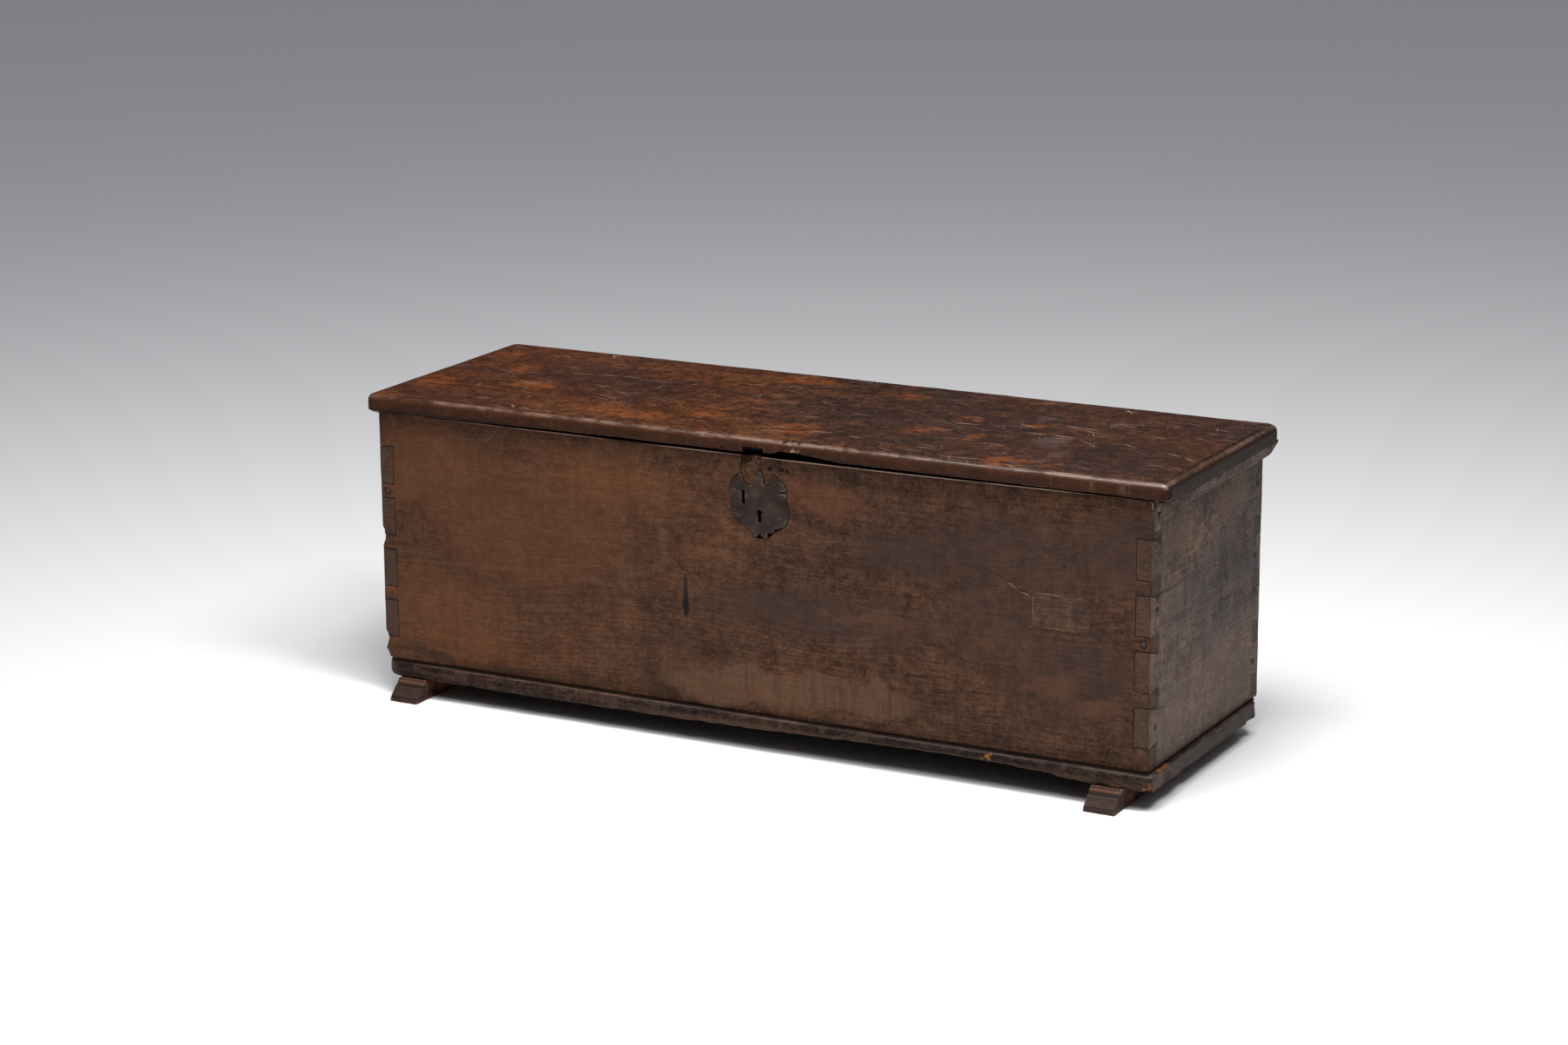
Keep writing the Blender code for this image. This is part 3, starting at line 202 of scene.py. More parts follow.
class Marks:
    """Spots, stains, cracks and scratches at measured places on one face of the chest, in millimetres."""

    def __init__(self, finish, across, up, face):
        """The face's two axes, and the place of its plane along the third."""
        self.finish = finish
        self.plane = across, up
        self.here = finish.step(abs(finish.case[3 - across - up] - face), 0.016, 0.012)
        self.fine = self.wandering(90, 0.004, 2)
        self.loose = self.wandering(16, 0.09, 4)

    def wandering(self, scale, reach, detail):
        """The face's two coordinates, shifted unevenly so that what is drawn by them is ragged."""
        shifts = [self.finish.noise(scale, detail, 0.65, shift=shift) for shift in ((0, 0, 0), (7, 3, 5))]
        return [self.finish.case[axis] + (shift - 0.5) * reach for axis, shift in zip(self.plane, shifts)]

    def slanted(self, place, shares, centre):
        """The two coordinates weighed and added, so that the sum is zero at the centre."""
        constant = -(shares[0] * centre[0] + shares[1] * centre[1])
        first = self.finish.maths("MULTIPLY_ADD", place[0], shares[0], constant)
        return self.finish.maths("MULTIPLY_ADD", place[1], shares[1], first)

    def spot(self, across, up, half_width, half_height, turn=0, strength=1, edge=0.45, ragged=True):
        """A soft oval at a place in the case's frame, turned by degrees."""
        finish = self.finish
        place, centre = self.loose if ragged else self.fine, (across * MM, up * MM)
        cosine, sine = math.cos(math.radians(turn)) / MM, math.sin(math.radians(turn)) / MM
        u = self.slanted(place, (cosine / half_width, sine / half_width), centre)
        v = self.slanted(place, (-sine / half_height, cosine / half_height), centre)
        distance = finish.maths("MULTIPLY_ADD", u, u, v * v)
        return finish.step(distance, 1, edge * edge, strength)

    def together(self, spots, **kind):
        """The strongest of several spots at each point."""
        total = None
        for spot in spots:
            value = self.spot(*spot, **kind)
            total = value if total is None else self.finish.greater(total, value)
        return total * self.here

    def tint(self, colour, share, spots, **kind):
        """Tint the wood over several spots."""
        self.finish.tint(colour, self.together(spots, **kind) * share)

    def round_nails(self, prefix, radius):
        """The stained wood round the nails whose names begin alike."""
        across, up = self.plane
        nails = [(sum(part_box(node), ORIGIN) / 2 - CASE_LOW) / MM for node in sorted(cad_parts)
                 if node.startswith(prefix)]
        return self.together([(nail[across], nail[up], radius, radius) for nail in nails], edge=0.6, ragged=False)

    def lines(self, strokes, half_width):
        """Thin ragged strokes, each from one point to another, with a strength."""
        spots = []
        for x1, y1, x2, y2, strength in strokes:
            length = math.hypot(x2 - x1, y2 - y1)
            turn = math.degrees(math.atan2(y2 - y1, x2 - x1))
            spots.append(((x1 + x2) / 2, (y1 + y2) / 2, length / 2, half_width, turn, strength))
        return self.together(spots, edge=0.55, ragged=False)


class Wood(Finish):
    """Old walnut: its figure, fibres and pores run along one axis of the chest."""

    def __init__(self, name, along, cool, warm, shift=(0, 0, 0), swirl=None, contrast=1, patchy=1, blotch=22):
        """The cool and the warm tones are each a dark, a middle and a light colour."""
        super().__init__(name)
        self.along, self.shift = along, shift
        self.mottle = self.drawn_out(3, 5, 4, 0.6)
        self.cloud = self.drawn_out(9, 17, 6, 0.66)
        self.streak = self.drawn_out(3, 60, 4, 0.6)
        self.grain = self.drawn_out(9, 180, 4, 0.62)
        self.fibre = self.drawn_out(22, 420, 3, 0.65)
        self.ripple = self.noise((60, 60, 7) if along != 2 else (7, 60, 60), 3, 0.6, shift)
        self.blotch = self.noise(blotch, 6, 1, shift)
        self.fleck = self.noise((70, 90, 90), 4, 1, shift)
        self.pores = self.step(self.drawn_out(55, 900, 2, 0.5, (0, 0, 0)), 0.6, 0.7)
        shares = ((self.cloud, 0.15 * patchy), (self.mottle, 0.16 * patchy), (self.streak, 0.12), (self.grain, 0.22),
                  (self.fibre, 0.34), (self.ripple, 0.18), (self.blotch, 1), (self.fleck, 0.6))
        value = 0.5 - sum(share for part, share in shares) / 2
        for part, share in shares:
            value = value + part * share
        spread = 0.15 / contrast
        stops = (0.5 - spread, 0.5, 0.5 + spread)
        hue = self.step(self.drawn_out(3.2, 5.5, 4, 0.6, (5, 5, 5)), 0.4, 0.62, patchy) + 0.5 * (1 - patchy)
        self.colour = self.mix(*[self.shades(value, *zip(stops, tones)) for tones in (cool, warm)], hue)
        smoke = self.drawn_out(6, 17, 5, 0.6, (1, 9, 2))
        self.tint(cool[0], self.step(smoke, 0.55, 0.76, 0.12 * patchy))
        self.tint(cool[0], self.pores * 0.6)
        self.rings(swirl, cool[0])
        self.relief = (self.fibre * 0.07 - self.pores * 0.12 + self.grain * 0.12 + self.cloud * 0.25
                       + self.blotch * 0.2)
        self.roughness = 0.4 + self.cloud * 0.2 + self.pores * 0.1

    def drawn_out(self, coarse, fine, detail, rough, shift=None):
        """Noise that is coarse along the grain and fine across it."""
        scales = [fine] * 3
        scales[self.along] = coarse
        return self.noise(tuple(scales), detail, rough, self.shift if shift is None else shift)

    def rings(self, swirl, dark):
        """Thin wavy lines of the yearly rings, which come and go."""
        warp = self.drawn_out(1.5, 4.2, 2, 0.5)
        first, second = [self.world[axis] for axis in (2, 1, 0) if axis != self.along]
        band = first + second + warp * 0.15 + self.streak * 0.004
        if swirl is not None:
            band = band + swirl(self) * 0.05
        lines = self.step(self.maths("SINE", band * (2 * math.pi / RING_WIDTH)), 0.35, 1)
        shown = self.step(self.drawn_out(3, 8, 2, 0.55, (0, 0, 0)), 0.36, 0.62)
        self.tint(dark, lines * shown * 0.38)

    def tint(self, colour, share):
        self.colour = self.mix(self.colour, colour, share)

    def darken(self, share, colour=(24, 19, 16)):
        self.tint(colour, share)

    def end_grain(self, colour, share=0.75):
        """Faces across the grain: short dark fibres instead of long ones."""
        ends = self.attribute("end_grain")
        speckle = self.noise(260, 3, 0.7)
        grain = self.step(speckle + self.noise((60, 60, 420), 2) * 0.5, 0.7, 0.9, 0.6)
        self.tint(self.mix(colour, (34, 26, 22), grain), ends * share)
        self.relief = self.relief + ends * speckle * 0.2

    def worn_edges(self, colour, share=0.5):
        """Paler rubbed arrises with grime just behind them."""
        wear = self.attribute("wear")
        self.darken(self.step(wear + self.cloud * 0.8, 0.9, 1.3, 0.22))
        rub = self.step(wear + self.streak * 0.35 + self.ripple * 0.35, 1.16, 1.34)
        self.tint(colour, rub * share)

    def shade_and_grime_on_tops(self):
        """Painted shade, with some grime: near black on the faces that look up under the lid, where its gap lies in
        shadow.
        """
        self.darken(self.attribute("upward") * 0.92, (13, 10, 9))

    def cracks(self, lines, depth=0.9):
        self.darken(lines * 0.92, (14, 10, 8))
        self.relief = self.relief - lines * depth

    def scratches(self, lines, colour):
        self.tint(colour, lines * 0.8)
        self.relief = self.relief - lines * 0.15

    def specks(self, colour=(150, 130, 115)):
        """Fine pale dust in the pores."""
        self.tint(colour, self.step(self.noise(700, 1, 0.5), 0.72, 0.8, 0.45))

    def done(self):
        return self.dress(self.colour, self.roughness, self.relief)


def tail_lines(finish, along, slope):
    """Dark joint lines of the dovetails, where the first axis runs along the face from each corner."""
    place, whole, reach = ((finish.x, CASE.x, END_THICKNESS), (finish.y, CASE.y, SIDE_THICKNESS))[along]
    near = finish.lesser(place, whole - place)
    height = finish.z - LOWEST_TAIL
    rise = finish.maths("MODULO", height + TAIL_PITCH, TAIL_PITCH)
    drawn_in = near * slope
    wander = finish.noise(40, 2) * 0.0012
    edge = finish.lesser(abs(rise - drawn_in), abs(rise + drawn_in - TAIL_HEIGHT)) + wander
    flats = finish.step(edge, 0.0024, 0.0012) * finish.step(near, reach + 0.0008, reach)
    upright = finish.step(abs(near - reach) + wander, 0.0024, 0.0012)
    on_tail = finish.step(rise + drawn_in, TAIL_HEIGHT + 0.001, TAIL_HEIGHT)
    if slope:
        on_tail = 1 - on_tail
    highest = TAIL_PITCH * TAIL_COUNT - 0.018
    levels = finish.step(height, -0.004, -0.003) * finish.step(height, highest, highest - 0.003)
    return finish.greater(flats, upright * on_tail) * levels


# Marks of wear, and some painted light and shade: spots and strokes are in millimetres, all else in metres, in the
# case's frame


def front_finish():
    def swirl(finish):
        marks = Marks(finish, 0, 2, 0)
        return marks.together(((725, 262, 200, 55), (905, 225, 120, 50), (1090, 285, 140, 45, -18)), edge=0)

    wood = Wood("front walnut", 0, ((36, 25, 20), (62, 43, 34), (80, 57, 45)),
                ((48, 30, 21), (81, 53, 36), (104, 70, 47)), swirl=swirl, patchy=0.5, blotch=32)
    marks = Marks(wood, 0, 2, 0)
    wood.tint((96, 61, 38), wood.step(wood.x, 0.85, 0.15, 0.22))
    marks.tint((105, 64, 38), 0.36, (
        (100, 100, 180, 90), (90, 330, 180, 90), (280, 250, 240, 120), (420, 340, 180, 70), (160, 50, 140, 50),
        (800, 360, 100, 40)), edge=0.1)
    marks.tint((57, 44, 39), 0.6, (
        (1120, 300, 200, 100), (1220, 140, 180, 100), (1100, 200, 140, 120), (950, 290, 120, 50),
        (1290, 330, 80, 100), (800, 170, 300, 50)), edge=0.1)
    marks.tint((100, 64, 46), 0.32, (
        (1190, 110, 50, 22), (1270, 90, 60, 18), (1080, 165, 20, 12), (720, 295, 70, 12),
        (880, 175, 120, 12)), edge=0.05)
    marks.tint((38, 29, 26), 0.16, (
        (600, 98, 240, 18, 2), (870, 108, 150, 22), (450, 155, 160, 16, 4), (560, 290, 100, 12, 8),
        (400, 235, 100, 12), (300, 365, 100, 14, -8), (1100, 130, 100, 30), (655, 345, 35, 45), (760, 225, 120, 10),
        (385, 275, 35, 9), (140, 300, 50, 8), (920, 262, 60, 12)), edge=0.1)
    marks.tint((36, 27, 23), 0.42, (
        (100, 12, 100, 16), (250, 10, 120, 18), (380, 16, 80, 20), (530, 14, 50, 35)), edge=0.1)
    worn = marks.together(((740, 47, 235, 36), (620, 32, 110, 32), (880, 50, 100, 34)), edge=0.62)
    wood.tint((103, 75, 56), worn * 0.45)
    shimmer = wood.noise((110, 20, 6), 3, 0.6)
    wood.darken(worn * wood.step(shimmer, 0.5, 0.68, 0.5), (58, 45, 38))
    tears = wood.noise((75, 20, 5), 3, 0.6)
    wood.darken(wood.step(wood.z, 0.14, 0.02) * wood.step(tears, 0.58, 0.74, 0.4), (42, 33, 30))
    wood.end_grain((60, 46, 38), 0.5)
    marks.tint((18, 18, 19), 0.92, ((566.5, 160, 7, 26), (566.5, 188, 4.6, 28, 0, 0.9)), edge=0.5, ragged=False)
    small = marks.together((
        (879, 94, 2.2, 9, 0, 0.8), (997, 62, 1.5, 6, 0, 0.5), (1310, 94, 3, 6, 0, 0.4)), edge=0.3, ragged=False)
    wood.darken(small, (26, 22, 22))
    lines = marks.lines((
        (1094, 277.5, 1115, 268, 0.9), (1112, 269.5, 1136, 257.5, 1), (1134, 258, 1156, 249.5, 1),
        (1156, 250, 1163, 245.5, 0.8), (1065, 288, 1096, 277, 0.4), (1205, 301.5, 1214, 298.5, 1),
        (1229, 301, 1242, 299, 0.6), (1240, 299, 1250, 294, 0.5), (1287, 31, 1280, 12, 0.9),
        (1280, 12, 1274, 4, 0.9), (1228, 106, 1262, 105, 0.8), (1262, 107, 1294, 105.5, 0.8),
        (1155, 208, 1148, 200, 0.5), (990, 292, 1020, 290, 0.4), (1100, 128, 1130, 125, 0.4),
        (1040, 262, 1075, 248, 0.4), (1055, 238, 1090, 225, 0.35), (8, 212.5, 24, 211, 1), (28, 63, 60, 62, 0.5),
        (0, 60, 30, 58.5, 0.8), (1325, 233, 1326, 208, 1), (24, 268, 25, 212, 1), (1240, 203, 1270, 196, 0.5),
        (1275, 203, 1300, 192, 0.5), (20, 176, 60, 172, 0.6), (1295, 346, 1315, 348, 0.5),
        (300, 212, 360, 209.5, 0.35), (30, 205, 160, 200, 0.35), (420, 246, 500, 243, 0.35)), 1.2)
    patch = marks.lines((
        (1158.5, 254, 1254.5, 250.5, 0.7), (1158, 200, 1253, 198.5, 0.4), (1253.5, 250.5, 1252.5, 198.5, 0.5)), 1.5)
    wood.darken(marks.round_nails("face_nail", 7.5) * 0.8, (18, 13, 11))
    joints = tail_lines(wood, 0, 0)
    corner = wood.step(wood.x - CASE.x, -0.0026, -0.0008, 0.7)
    corner = corner * wood.step(wood.attribute("end_grain") + wood.blotch, 0.62, 0.45)
    wood.cracks(wood.greater(wood.greater(lines, corner), wood.greater(patch, joints * 0.85)))
    wood.tint((136, 104, 78), marks.lines((
        (1160.5, 254.5, 1159.5, 200, 1), (1162, 255.2, 1215, 253.8, 0.9), (1118, 265.5, 1134, 257.2, 0.9),
        (1140, 253.5, 1157, 247.5, 0.8), (1215, 253.5, 1254, 251.5, 0.6)), 1.4) * 0.8)
    torn = marks.together(((685, 398, 18, 19), (674, 404, 10, 12)), edge=0.6)
    torn = torn * wood.step(wood.noise((60, 60, 220), 4, 0.7), 0.35, 0.6)
    wood.tint((104, 76, 56), torn * 0.6)
    marks.tint((150, 100, 62), 0.6, ((690, 386, 10, 8),), edge=0.4)
    wood.relief = wood.relief + torn * wood.noise((60, 60, 300), 3) * 0.8
    specks = marks.together((
        (717.4, 395.6, 4.8, 4.2), (738.8, 396, 5, 3.8), (747.6, 394.1, 4, 3.6), (628, 398, 1.2, 1.2),
        (400, 247, 1.4, 1.4)), edge=0.6, ragged=False)
    wood.cracks(specks, 1.5)
    wood.scratches(marks.lines((
        (700, 278, 790, 274.5, 0.5), (620, 252, 655, 250, 0.4), (300, 312, 360, 310, 0.3),
        (100, 270, 180, 262, 0.3), (190, 258, 270, 246, 0.3), (860, 198, 920, 190, 0.35),
        (920, 190, 970, 178, 0.35), (1160, 318, 1200, 307, 0.4)), 0.8), (118, 90, 70))
    wood.specks()
    # Rubbed arrises, paler most along the top, where the paleness is also a painted highlight.
    wood.worn_edges((134, 104, 88), wood.step(wood.z, 0.39, 0.405, 0.35) + 0.1)
    # Painted highlight: a thin pale line along the worn top arris, just under the lid's gap.
    rim = wood.step(wood.attribute("wear"), 0.76, 0.9) * wood.step(wood.z, 0.4, 0.408)
    rim = rim * wood.step(wood.x, 0, 0.5)
    wood.tint((196, 166, 146), rim * wood.step(wood.grain + wood.streak, 0.86, 1.08, 0.95))
    wood.shade_and_grime_on_tops()
    return wood.done()


def lid_finish():
    wood = Wood("lid walnut", 0, ((27, 16, 12), (47, 29, 22), (76, 49, 38)),
                ((38, 20, 12), (66, 37, 21), (102, 60, 33)), shift=(3, 1, 7), contrast=1.35)
    wood.shader.inputs["Specular IOR Level"].default_value = 0.05
    marks = Marks(wood, 0, 1, LID_TOP)
    wood.tint((70, 34, 18), wood.step(wood.x, 0.75, 0.15, 0.25))
    wood.tint((38, 29, 27), wood.step(wood.x, 0.55, 1.1, 0.52))
    orange = marks.together((
        (35, 120, 45, 70, 20), (40, 350, 50, 30), (110, 270, 35, 50, 30), (190, 160, 60, 30), (580, 385, 90, 28),
        (720, 70, 60, 60, -20), (900, 145, 40, 30, 20), (990, 140, 25, 30), (1100, 20, 50, 35), (550, 100, 50, 30),
        (1045, 250, 25, 20), (940, 250, 35, 25), (420, 50, 120, 40), (780, 355, 50, 30),
        (1170, 40, 40, 30)), edge=0.05)
    broken = wood.step(wood.noise((40, 60, 40), 5, 0.7, shift=(6, 1, 1)), 0.4, 0.6)
    wood.tint((128, 68, 30), orange * broken * 0.5)
    marks.tint((40, 28, 26), 0.34, (
        (260, 310, 70, 50), (390, 120, 30, 35, 40), (520, 265, 50, 40), (1070, 285, 80, 40), (1240, 170, 70, 50),
        (320, 250, 120, 30, 4), (800, 200, 140, 30), (950, 380, 30, 15), (640, 360, 50, 15),
        (340, 420, 30, 12)), edge=0.05)
    marks.tint((84, 72, 70), 0.32, (
        (1120, 165, 30, 45, -20), (1150, 90, 14, 40, -12), (1160, 310, 12, 15), (1040, 300, 20, 15)), edge=0.2)
    marks.tint((28, 26, 28), 0.85, ((1252.5, 357, 11, 16), (1150.5, 328, 6, 8)), edge=0.3)
    scuffs(wood)
    lid_front_edge(wood)
    wood.scratches(marks.lines((
        (1088, 270.5, 1122, 270, 0.9), (1118, 270, 1147, 269.5, 0.8), (1134, 256, 1147, 250, 0.6),
        (1147, 243, 1158, 228, 0.6), (1050, 203.5, 1092, 208, 1), (1090, 208.5, 1137, 205, 1),
        (1212, 202.5, 1246, 182, 0.5), (1298, 170, 1330, 160, 0.7), (1330, 160, 1360, 134, 0.6),
        (200, 268, 245, 274, 0.6), (245, 277, 285, 281, 0.7), (285, 284, 330, 284, 0.6), (330, 276, 395, 277, 0.5),
        (420, 281, 440, 279, 0.5), (750, 67, 790, 73, 0.9), (820, 62, 850, 63, 0.6), (240, 22, 255, 6, 0.8),
        (385, 220, 390, 260, 0.4), (230, 100, 236, 70, 0.4), (110, 140, 112, 118, 0.5), (160, 40, 190, 50, 0.5),
        (1080, 62, 1085, 66, 0.8), (1300, 90, 1330, 95, 0.5), (500, 320, 530, 330, 0.4), (190, 424, 205, 406, 0.8),
        (196, 408, 206, 428, 0.7), (1130, 418, 1148, 396, 0.9), (1128, 405, 1152, 412, 0.9),
        (660, 435, 700, 437, 0.6), (115, 385, 140, 372, 0.5), (95, 372, 125, 368, 0.5), (600, 235, 650, 230, 0.3),
        (750, 207, 790, 206, 0.4)), 1.2), (168, 142, 124))
    # Painted shade: a dark line in the quirk near the lid's right end.
    quirk = LID_RIGHT / MM - 12.5
    wood.cracks(marks.lines(((quirk, -2, quirk, 430, 1),), 1.9))
    wood.cracks(marks.lines(((1270, 333.5, 1357, 330, 0.5), (620, 345, 660, 343, 0.4), (0, 332, 60, 330, 0.4)), 1.2))
    edge = Marks(wood, 0, 2, LID_FRONT)
    chip = edge.together(((757, LID_TOP / MM - 7.5, 25, 5),), edge=0.4)
    chip = chip * wood.step(wood.noise((90, 90, 260), 4, 0.7), 0.42, 0.56)
    wood.tint((150, 124, 102), chip * 0.6)
    holes = marks.together(((746.5, -5.8, 3.8, 3.4), (772, -7.2, 3.2, 2.4)), edge=0.6, ragged=False)
    spot = edge.together(((640, 423.5, 3.2, 2.8),), edge=0.5, ragged=False)
    wood.cracks(wood.greater(holes, spot), 2)
    wood.specks()
    # The end faces: darker end grain, deepened near black as painted shade on faces turned from the light.
    wood.end_grain((36, 25, 21), 0.85)
    wood.darken(notch_shade(wood))
    wood.worn_edges((132, 104, 86), 0.3)
    wood.roughness = wood.roughness - 0.08
    return wood.done()


def notch_shade(finish):
    """Painted shade inside the hasp's notch, a recess low in the lid's front."""
    width = finish.step(abs(finish.x - HASP_MIDDLE), 0.018, 0.0172)
    depth = finish.step(finish.y - LID_FRONT, 0.029, 0.026)
    return width * depth * finish.step(finish.z - LID_BOTTOM, 0.01, 0.0094)


def scuffs(wood):
    """Many fine scratches in several directions and small dents, thicker in places."""
    thick = wood.step(wood.noise(7, 2, shift=(2, 2, 2)), 0.42, 0.62)
    thick = thick * wood.step(wood.z - LID_BOTTOM, 0.004, 0.008)
    for angle, shift, share in ((8, 1, 0.7), (-24, 2, 0.6), (63, 3, 0.22), (-70, 4, 0.22)):
        fine = wood.noise((12, 330, 12), 1, 0.4, (shift, shift, 0), angle)
        wood.tint((148, 120, 104), thick * wood.step(fine, 0.67, 0.75, share))
    dents = wood.step(wood.noise(190, 2), 0.68, 0.76)
    wood.tint((128, 98, 82), dents * 0.3)
    wood.relief = wood.relief - dents * 0.15


def lid_front_edge(wood):
    """The handled front edge: browner, rubbed pale along the top arris with a painted highlight there, darker in
    patches low on its face, and with painted shade along its lowest edge.
    """
    back, height = wood.y - LID_FRONT, wood.z - LID_BOTTOM
    front = wood.step(back, 0.008, 0.002)
    wood.tint((62, 37, 24), front * 0.7)
    low = wood.step(height, 0.019, 0.012) * front
    wood.darken(low * wood.step(wood.noise((26, 60, 40), 4, 0.6), 0.38, 0.6, 0.5), (34, 22, 17))
    round_front = wood.step(abs(back - LID_ROUND), 0.0046, 0.0014)
    round_right = wood.step(abs(wood.x - LID_RIGHT + LID_ROUND), 0.0046, 0.0014)
    arris = wood.greater(round_front, round_right * 0.6) * wood.step(wood.z - LID_TOP, -0.0088, -0.0055)
    brush = wood.noise((60, 120, 60), 4, 0.65)
    patchy = wood.noise(9, 3, 0.6, shift=(4, 4, 4))
    along = wood.step(wood.x, 0.05, 0.5, 0.35) + wood.step(wood.x, 0.85, 1.05, 0.35)
    # Pale patches on the top arris: rubbed wear, and a painted highlight.
    rubbed = arris * wood.step(brush * 0.8 + patchy, 0.75, 1.05)
    wood.tint((140, 112, 96), rubbed * 0.4)
    wood.sheen(arris * (along + 0.3) * wood.step(patchy + brush * 0.5, 0.35, 0.75), 0.32)
    # Painted shade along the lowest 6 mm of the face, for the shadow of the gap over the case.
    wood.darken(wood.step(height, 0.006, 0.001) * front * 0.6)


def side_finish():
    wood = Wood("end walnut", 1, ((46, 38, 34), (72, 59, 53), (98, 82, 73)),
                ((50, 38, 32), (85, 65, 54), (114, 91, 75)), shift=(9, 2, 4), contrast=1.3)
    marks = Marks(wood, 1, 2, CASE.x)
    marks.tint((62, 57, 58), 0.5, (
        (270, 290, 100, 22, 12), (190, 240, 100, 20, -6), (380, 225, 60, 30), (230, 150, 100, 20),
        (100, 90, 50, 20)), edge=0.05)
    marks.tint((98, 76, 62), 0.5, (
        (90, 60, 60, 30), (100, 350, 80, 40), (300, 360, 100, 30), (270, 110, 70, 40)), edge=0.05)
    # Painted light: paler towards the bottom, where light bounces up from the floor.
    wood.tint((110, 92, 83), wood.step(wood.z, 0.2, 0.05, 0.3))
    wood.darken(wood.step(wood.noise((6, 150, 9), 2), 0.55, 0.7, 0.15))
    wood.darken(wood.step(wood.z, 0.012, 0, 0.4))
    wood.end_grain((70, 50, 40), 0.8)
    corner = wood.step(wood.y, 0.0034, 0.001)
    wood.darken(corner * wood.step(wood.attribute("end_grain") + wood.blotch, 0.62, 0.45, 0.8))
    wood.shade_and_grime_on_tops()
    lines = marks.lines((
        (235, 262, 280, 252, 0.6), (345, 253, 395, 230, 0.7), (130, 246, 200, 248, 0.35), (300, 98, 297, 62, 0.8),
        (301.5, 99, 306, 94, 0.6), (120, 203, 140, 199, 0.4), (30, 92.5, 64, 88, 0.6), (370, 297, 360, 279, 0.4),
        (110, 330, 112, 302, 0.45), (352, 292, 374, 290, 0.4), (395, 200, 402, 190, 0.5), (20, 237, 34, 235.5, 0.7),
        (28, 178, 80, 176, 0.3), (370, 48, 410, 30, 0.3), (385, 52, 386, 36, 0.5)), 1)
    patch = marks.lines((
        (28, 269, 123, 266.5, 0.8), (122, 267, 123.5, 219.5, 0.6), (30, 221.5, 123, 219.5, 0.8)), 1.1)
    specks = marks.together(((29, 91.5, 2, 2), (385, 68, 1.5, 2), (197, 345, 1.5, 1.5), (207, 119, 1.5, 1.5)),
                            edge=0.5, ragged=False)
    wood.darken(marks.round_nails("corner_nail_right", 6) * 0.85, (15, 11, 10))
    joints = tail_lines(wood, 1, TAIL_SLOPE)
    wood.cracks(wood.greater(wood.greater(lines, patch), wood.greater(specks, joints * 0.85)))
    wood.specks((140, 126, 116))
    wood.worn_edges((124, 98, 80), 0.5)
    return wood.done()


def plain_finish(name, along, cool, warm, end, shift, edges=0.4, seam=None):
    """Plain wood, dark along a seam at a height of the chest."""
    wood = Wood(name, along, cool, warm, shift=shift)
    if seam is not None:
        wood.darken(wood.step(wood.z - seam, -0.0042, -0.0018, 0.92))
    wood.end_grain(end)
    wood.worn_edges((116, 90, 72), edges)
    return wood.done()


def base_finish():
    wood = Wood("base walnut", 0, ((20, 15, 14), (38, 29, 26), (60, 46, 40)),
                ((26, 18, 15), (46, 32, 26), (72, 51, 39)), shift=(2, 6, 1), contrast=1.4)
    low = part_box("base_board")[0] - CASE_LOW
    back, height = wood.y - low.y, wood.z - low.z
    front = wood.step(back, 0.03, 0)
    worn = wood.step(abs(wood.x - 0.86), 0.5, 0.25)
    lower = wood.step(height, 0.016, 0.008)
    wood.tint((104, 76, 56), front * worn * lower * 0.32)
    marks = Marks(wood, 0, 2, BASE_FRONT)
    rot = marks.together(((1354, -14, 10, 14), (1305, -16, 12, 6), (1090, -10, 10, 4), (5, -4, 10, 10)), edge=0.2)
    crumbs = wood.step(wood.noise(240, 3, 0.7), 0.42, 0.56)
    wood.tint((150, 96, 48), rot * crumbs * 0.85)
    side = Marks(wood, 1, 2, BASE_RIGHT)
    side.tint((24, 19, 16), 0.6, ((100, -4, 120, 5), (330, -10, 90, 8)), edge=0.2)
    fuzz = wood.noise((35, 35, 500), 4, 0.7)
    edge = wood.step(wood.x, CASE.x - 0.01, CASE.x + 0.008)
    wood.tint((88, 78, 73), edge * wood.step(fuzz, 0.4, 0.62) * 0.5)
    wood.darken(edge * wood.step(fuzz, 0.5, 0.38) * 0.6)
    corner = side.together(((12, -13, 35, 13), (50, -16, 30, 6)), edge=0.2)
    wood.tint((146, 94, 48), corner * crumbs * 0.8)
    # Painted shade, with some dirt: the ledge of the base next to the case, near black.
    ledge = wood.step(back, 0.0055, 0.0085)
    top = wood.step(height, 0.0215, 0.0235)
    inner = wood.step(wood.x, CASE.x + 0.005, CASE.x + 0.001)
    wood.darken(ledge * top * inner * 0.9, (14, 11, 10))
    # Painted highlight: a thin pale line along the nosing.
    nosing_highlight = wood.step(abs(back - 0.003), 0.003, 0.001) * top
    wood.tint((136, 112, 100), nosing_highlight * wood.step(wood.grain + wood.streak, 0.85, 1.1, 0.22))
    wood.relief = wood.relief + (edge + front * lower * worn) * fuzz * 0.9
    wood.end_grain((66, 56, 51), 0.6)
    wood.worn_edges((116, 90, 74), 0.2)
    return wood.done()


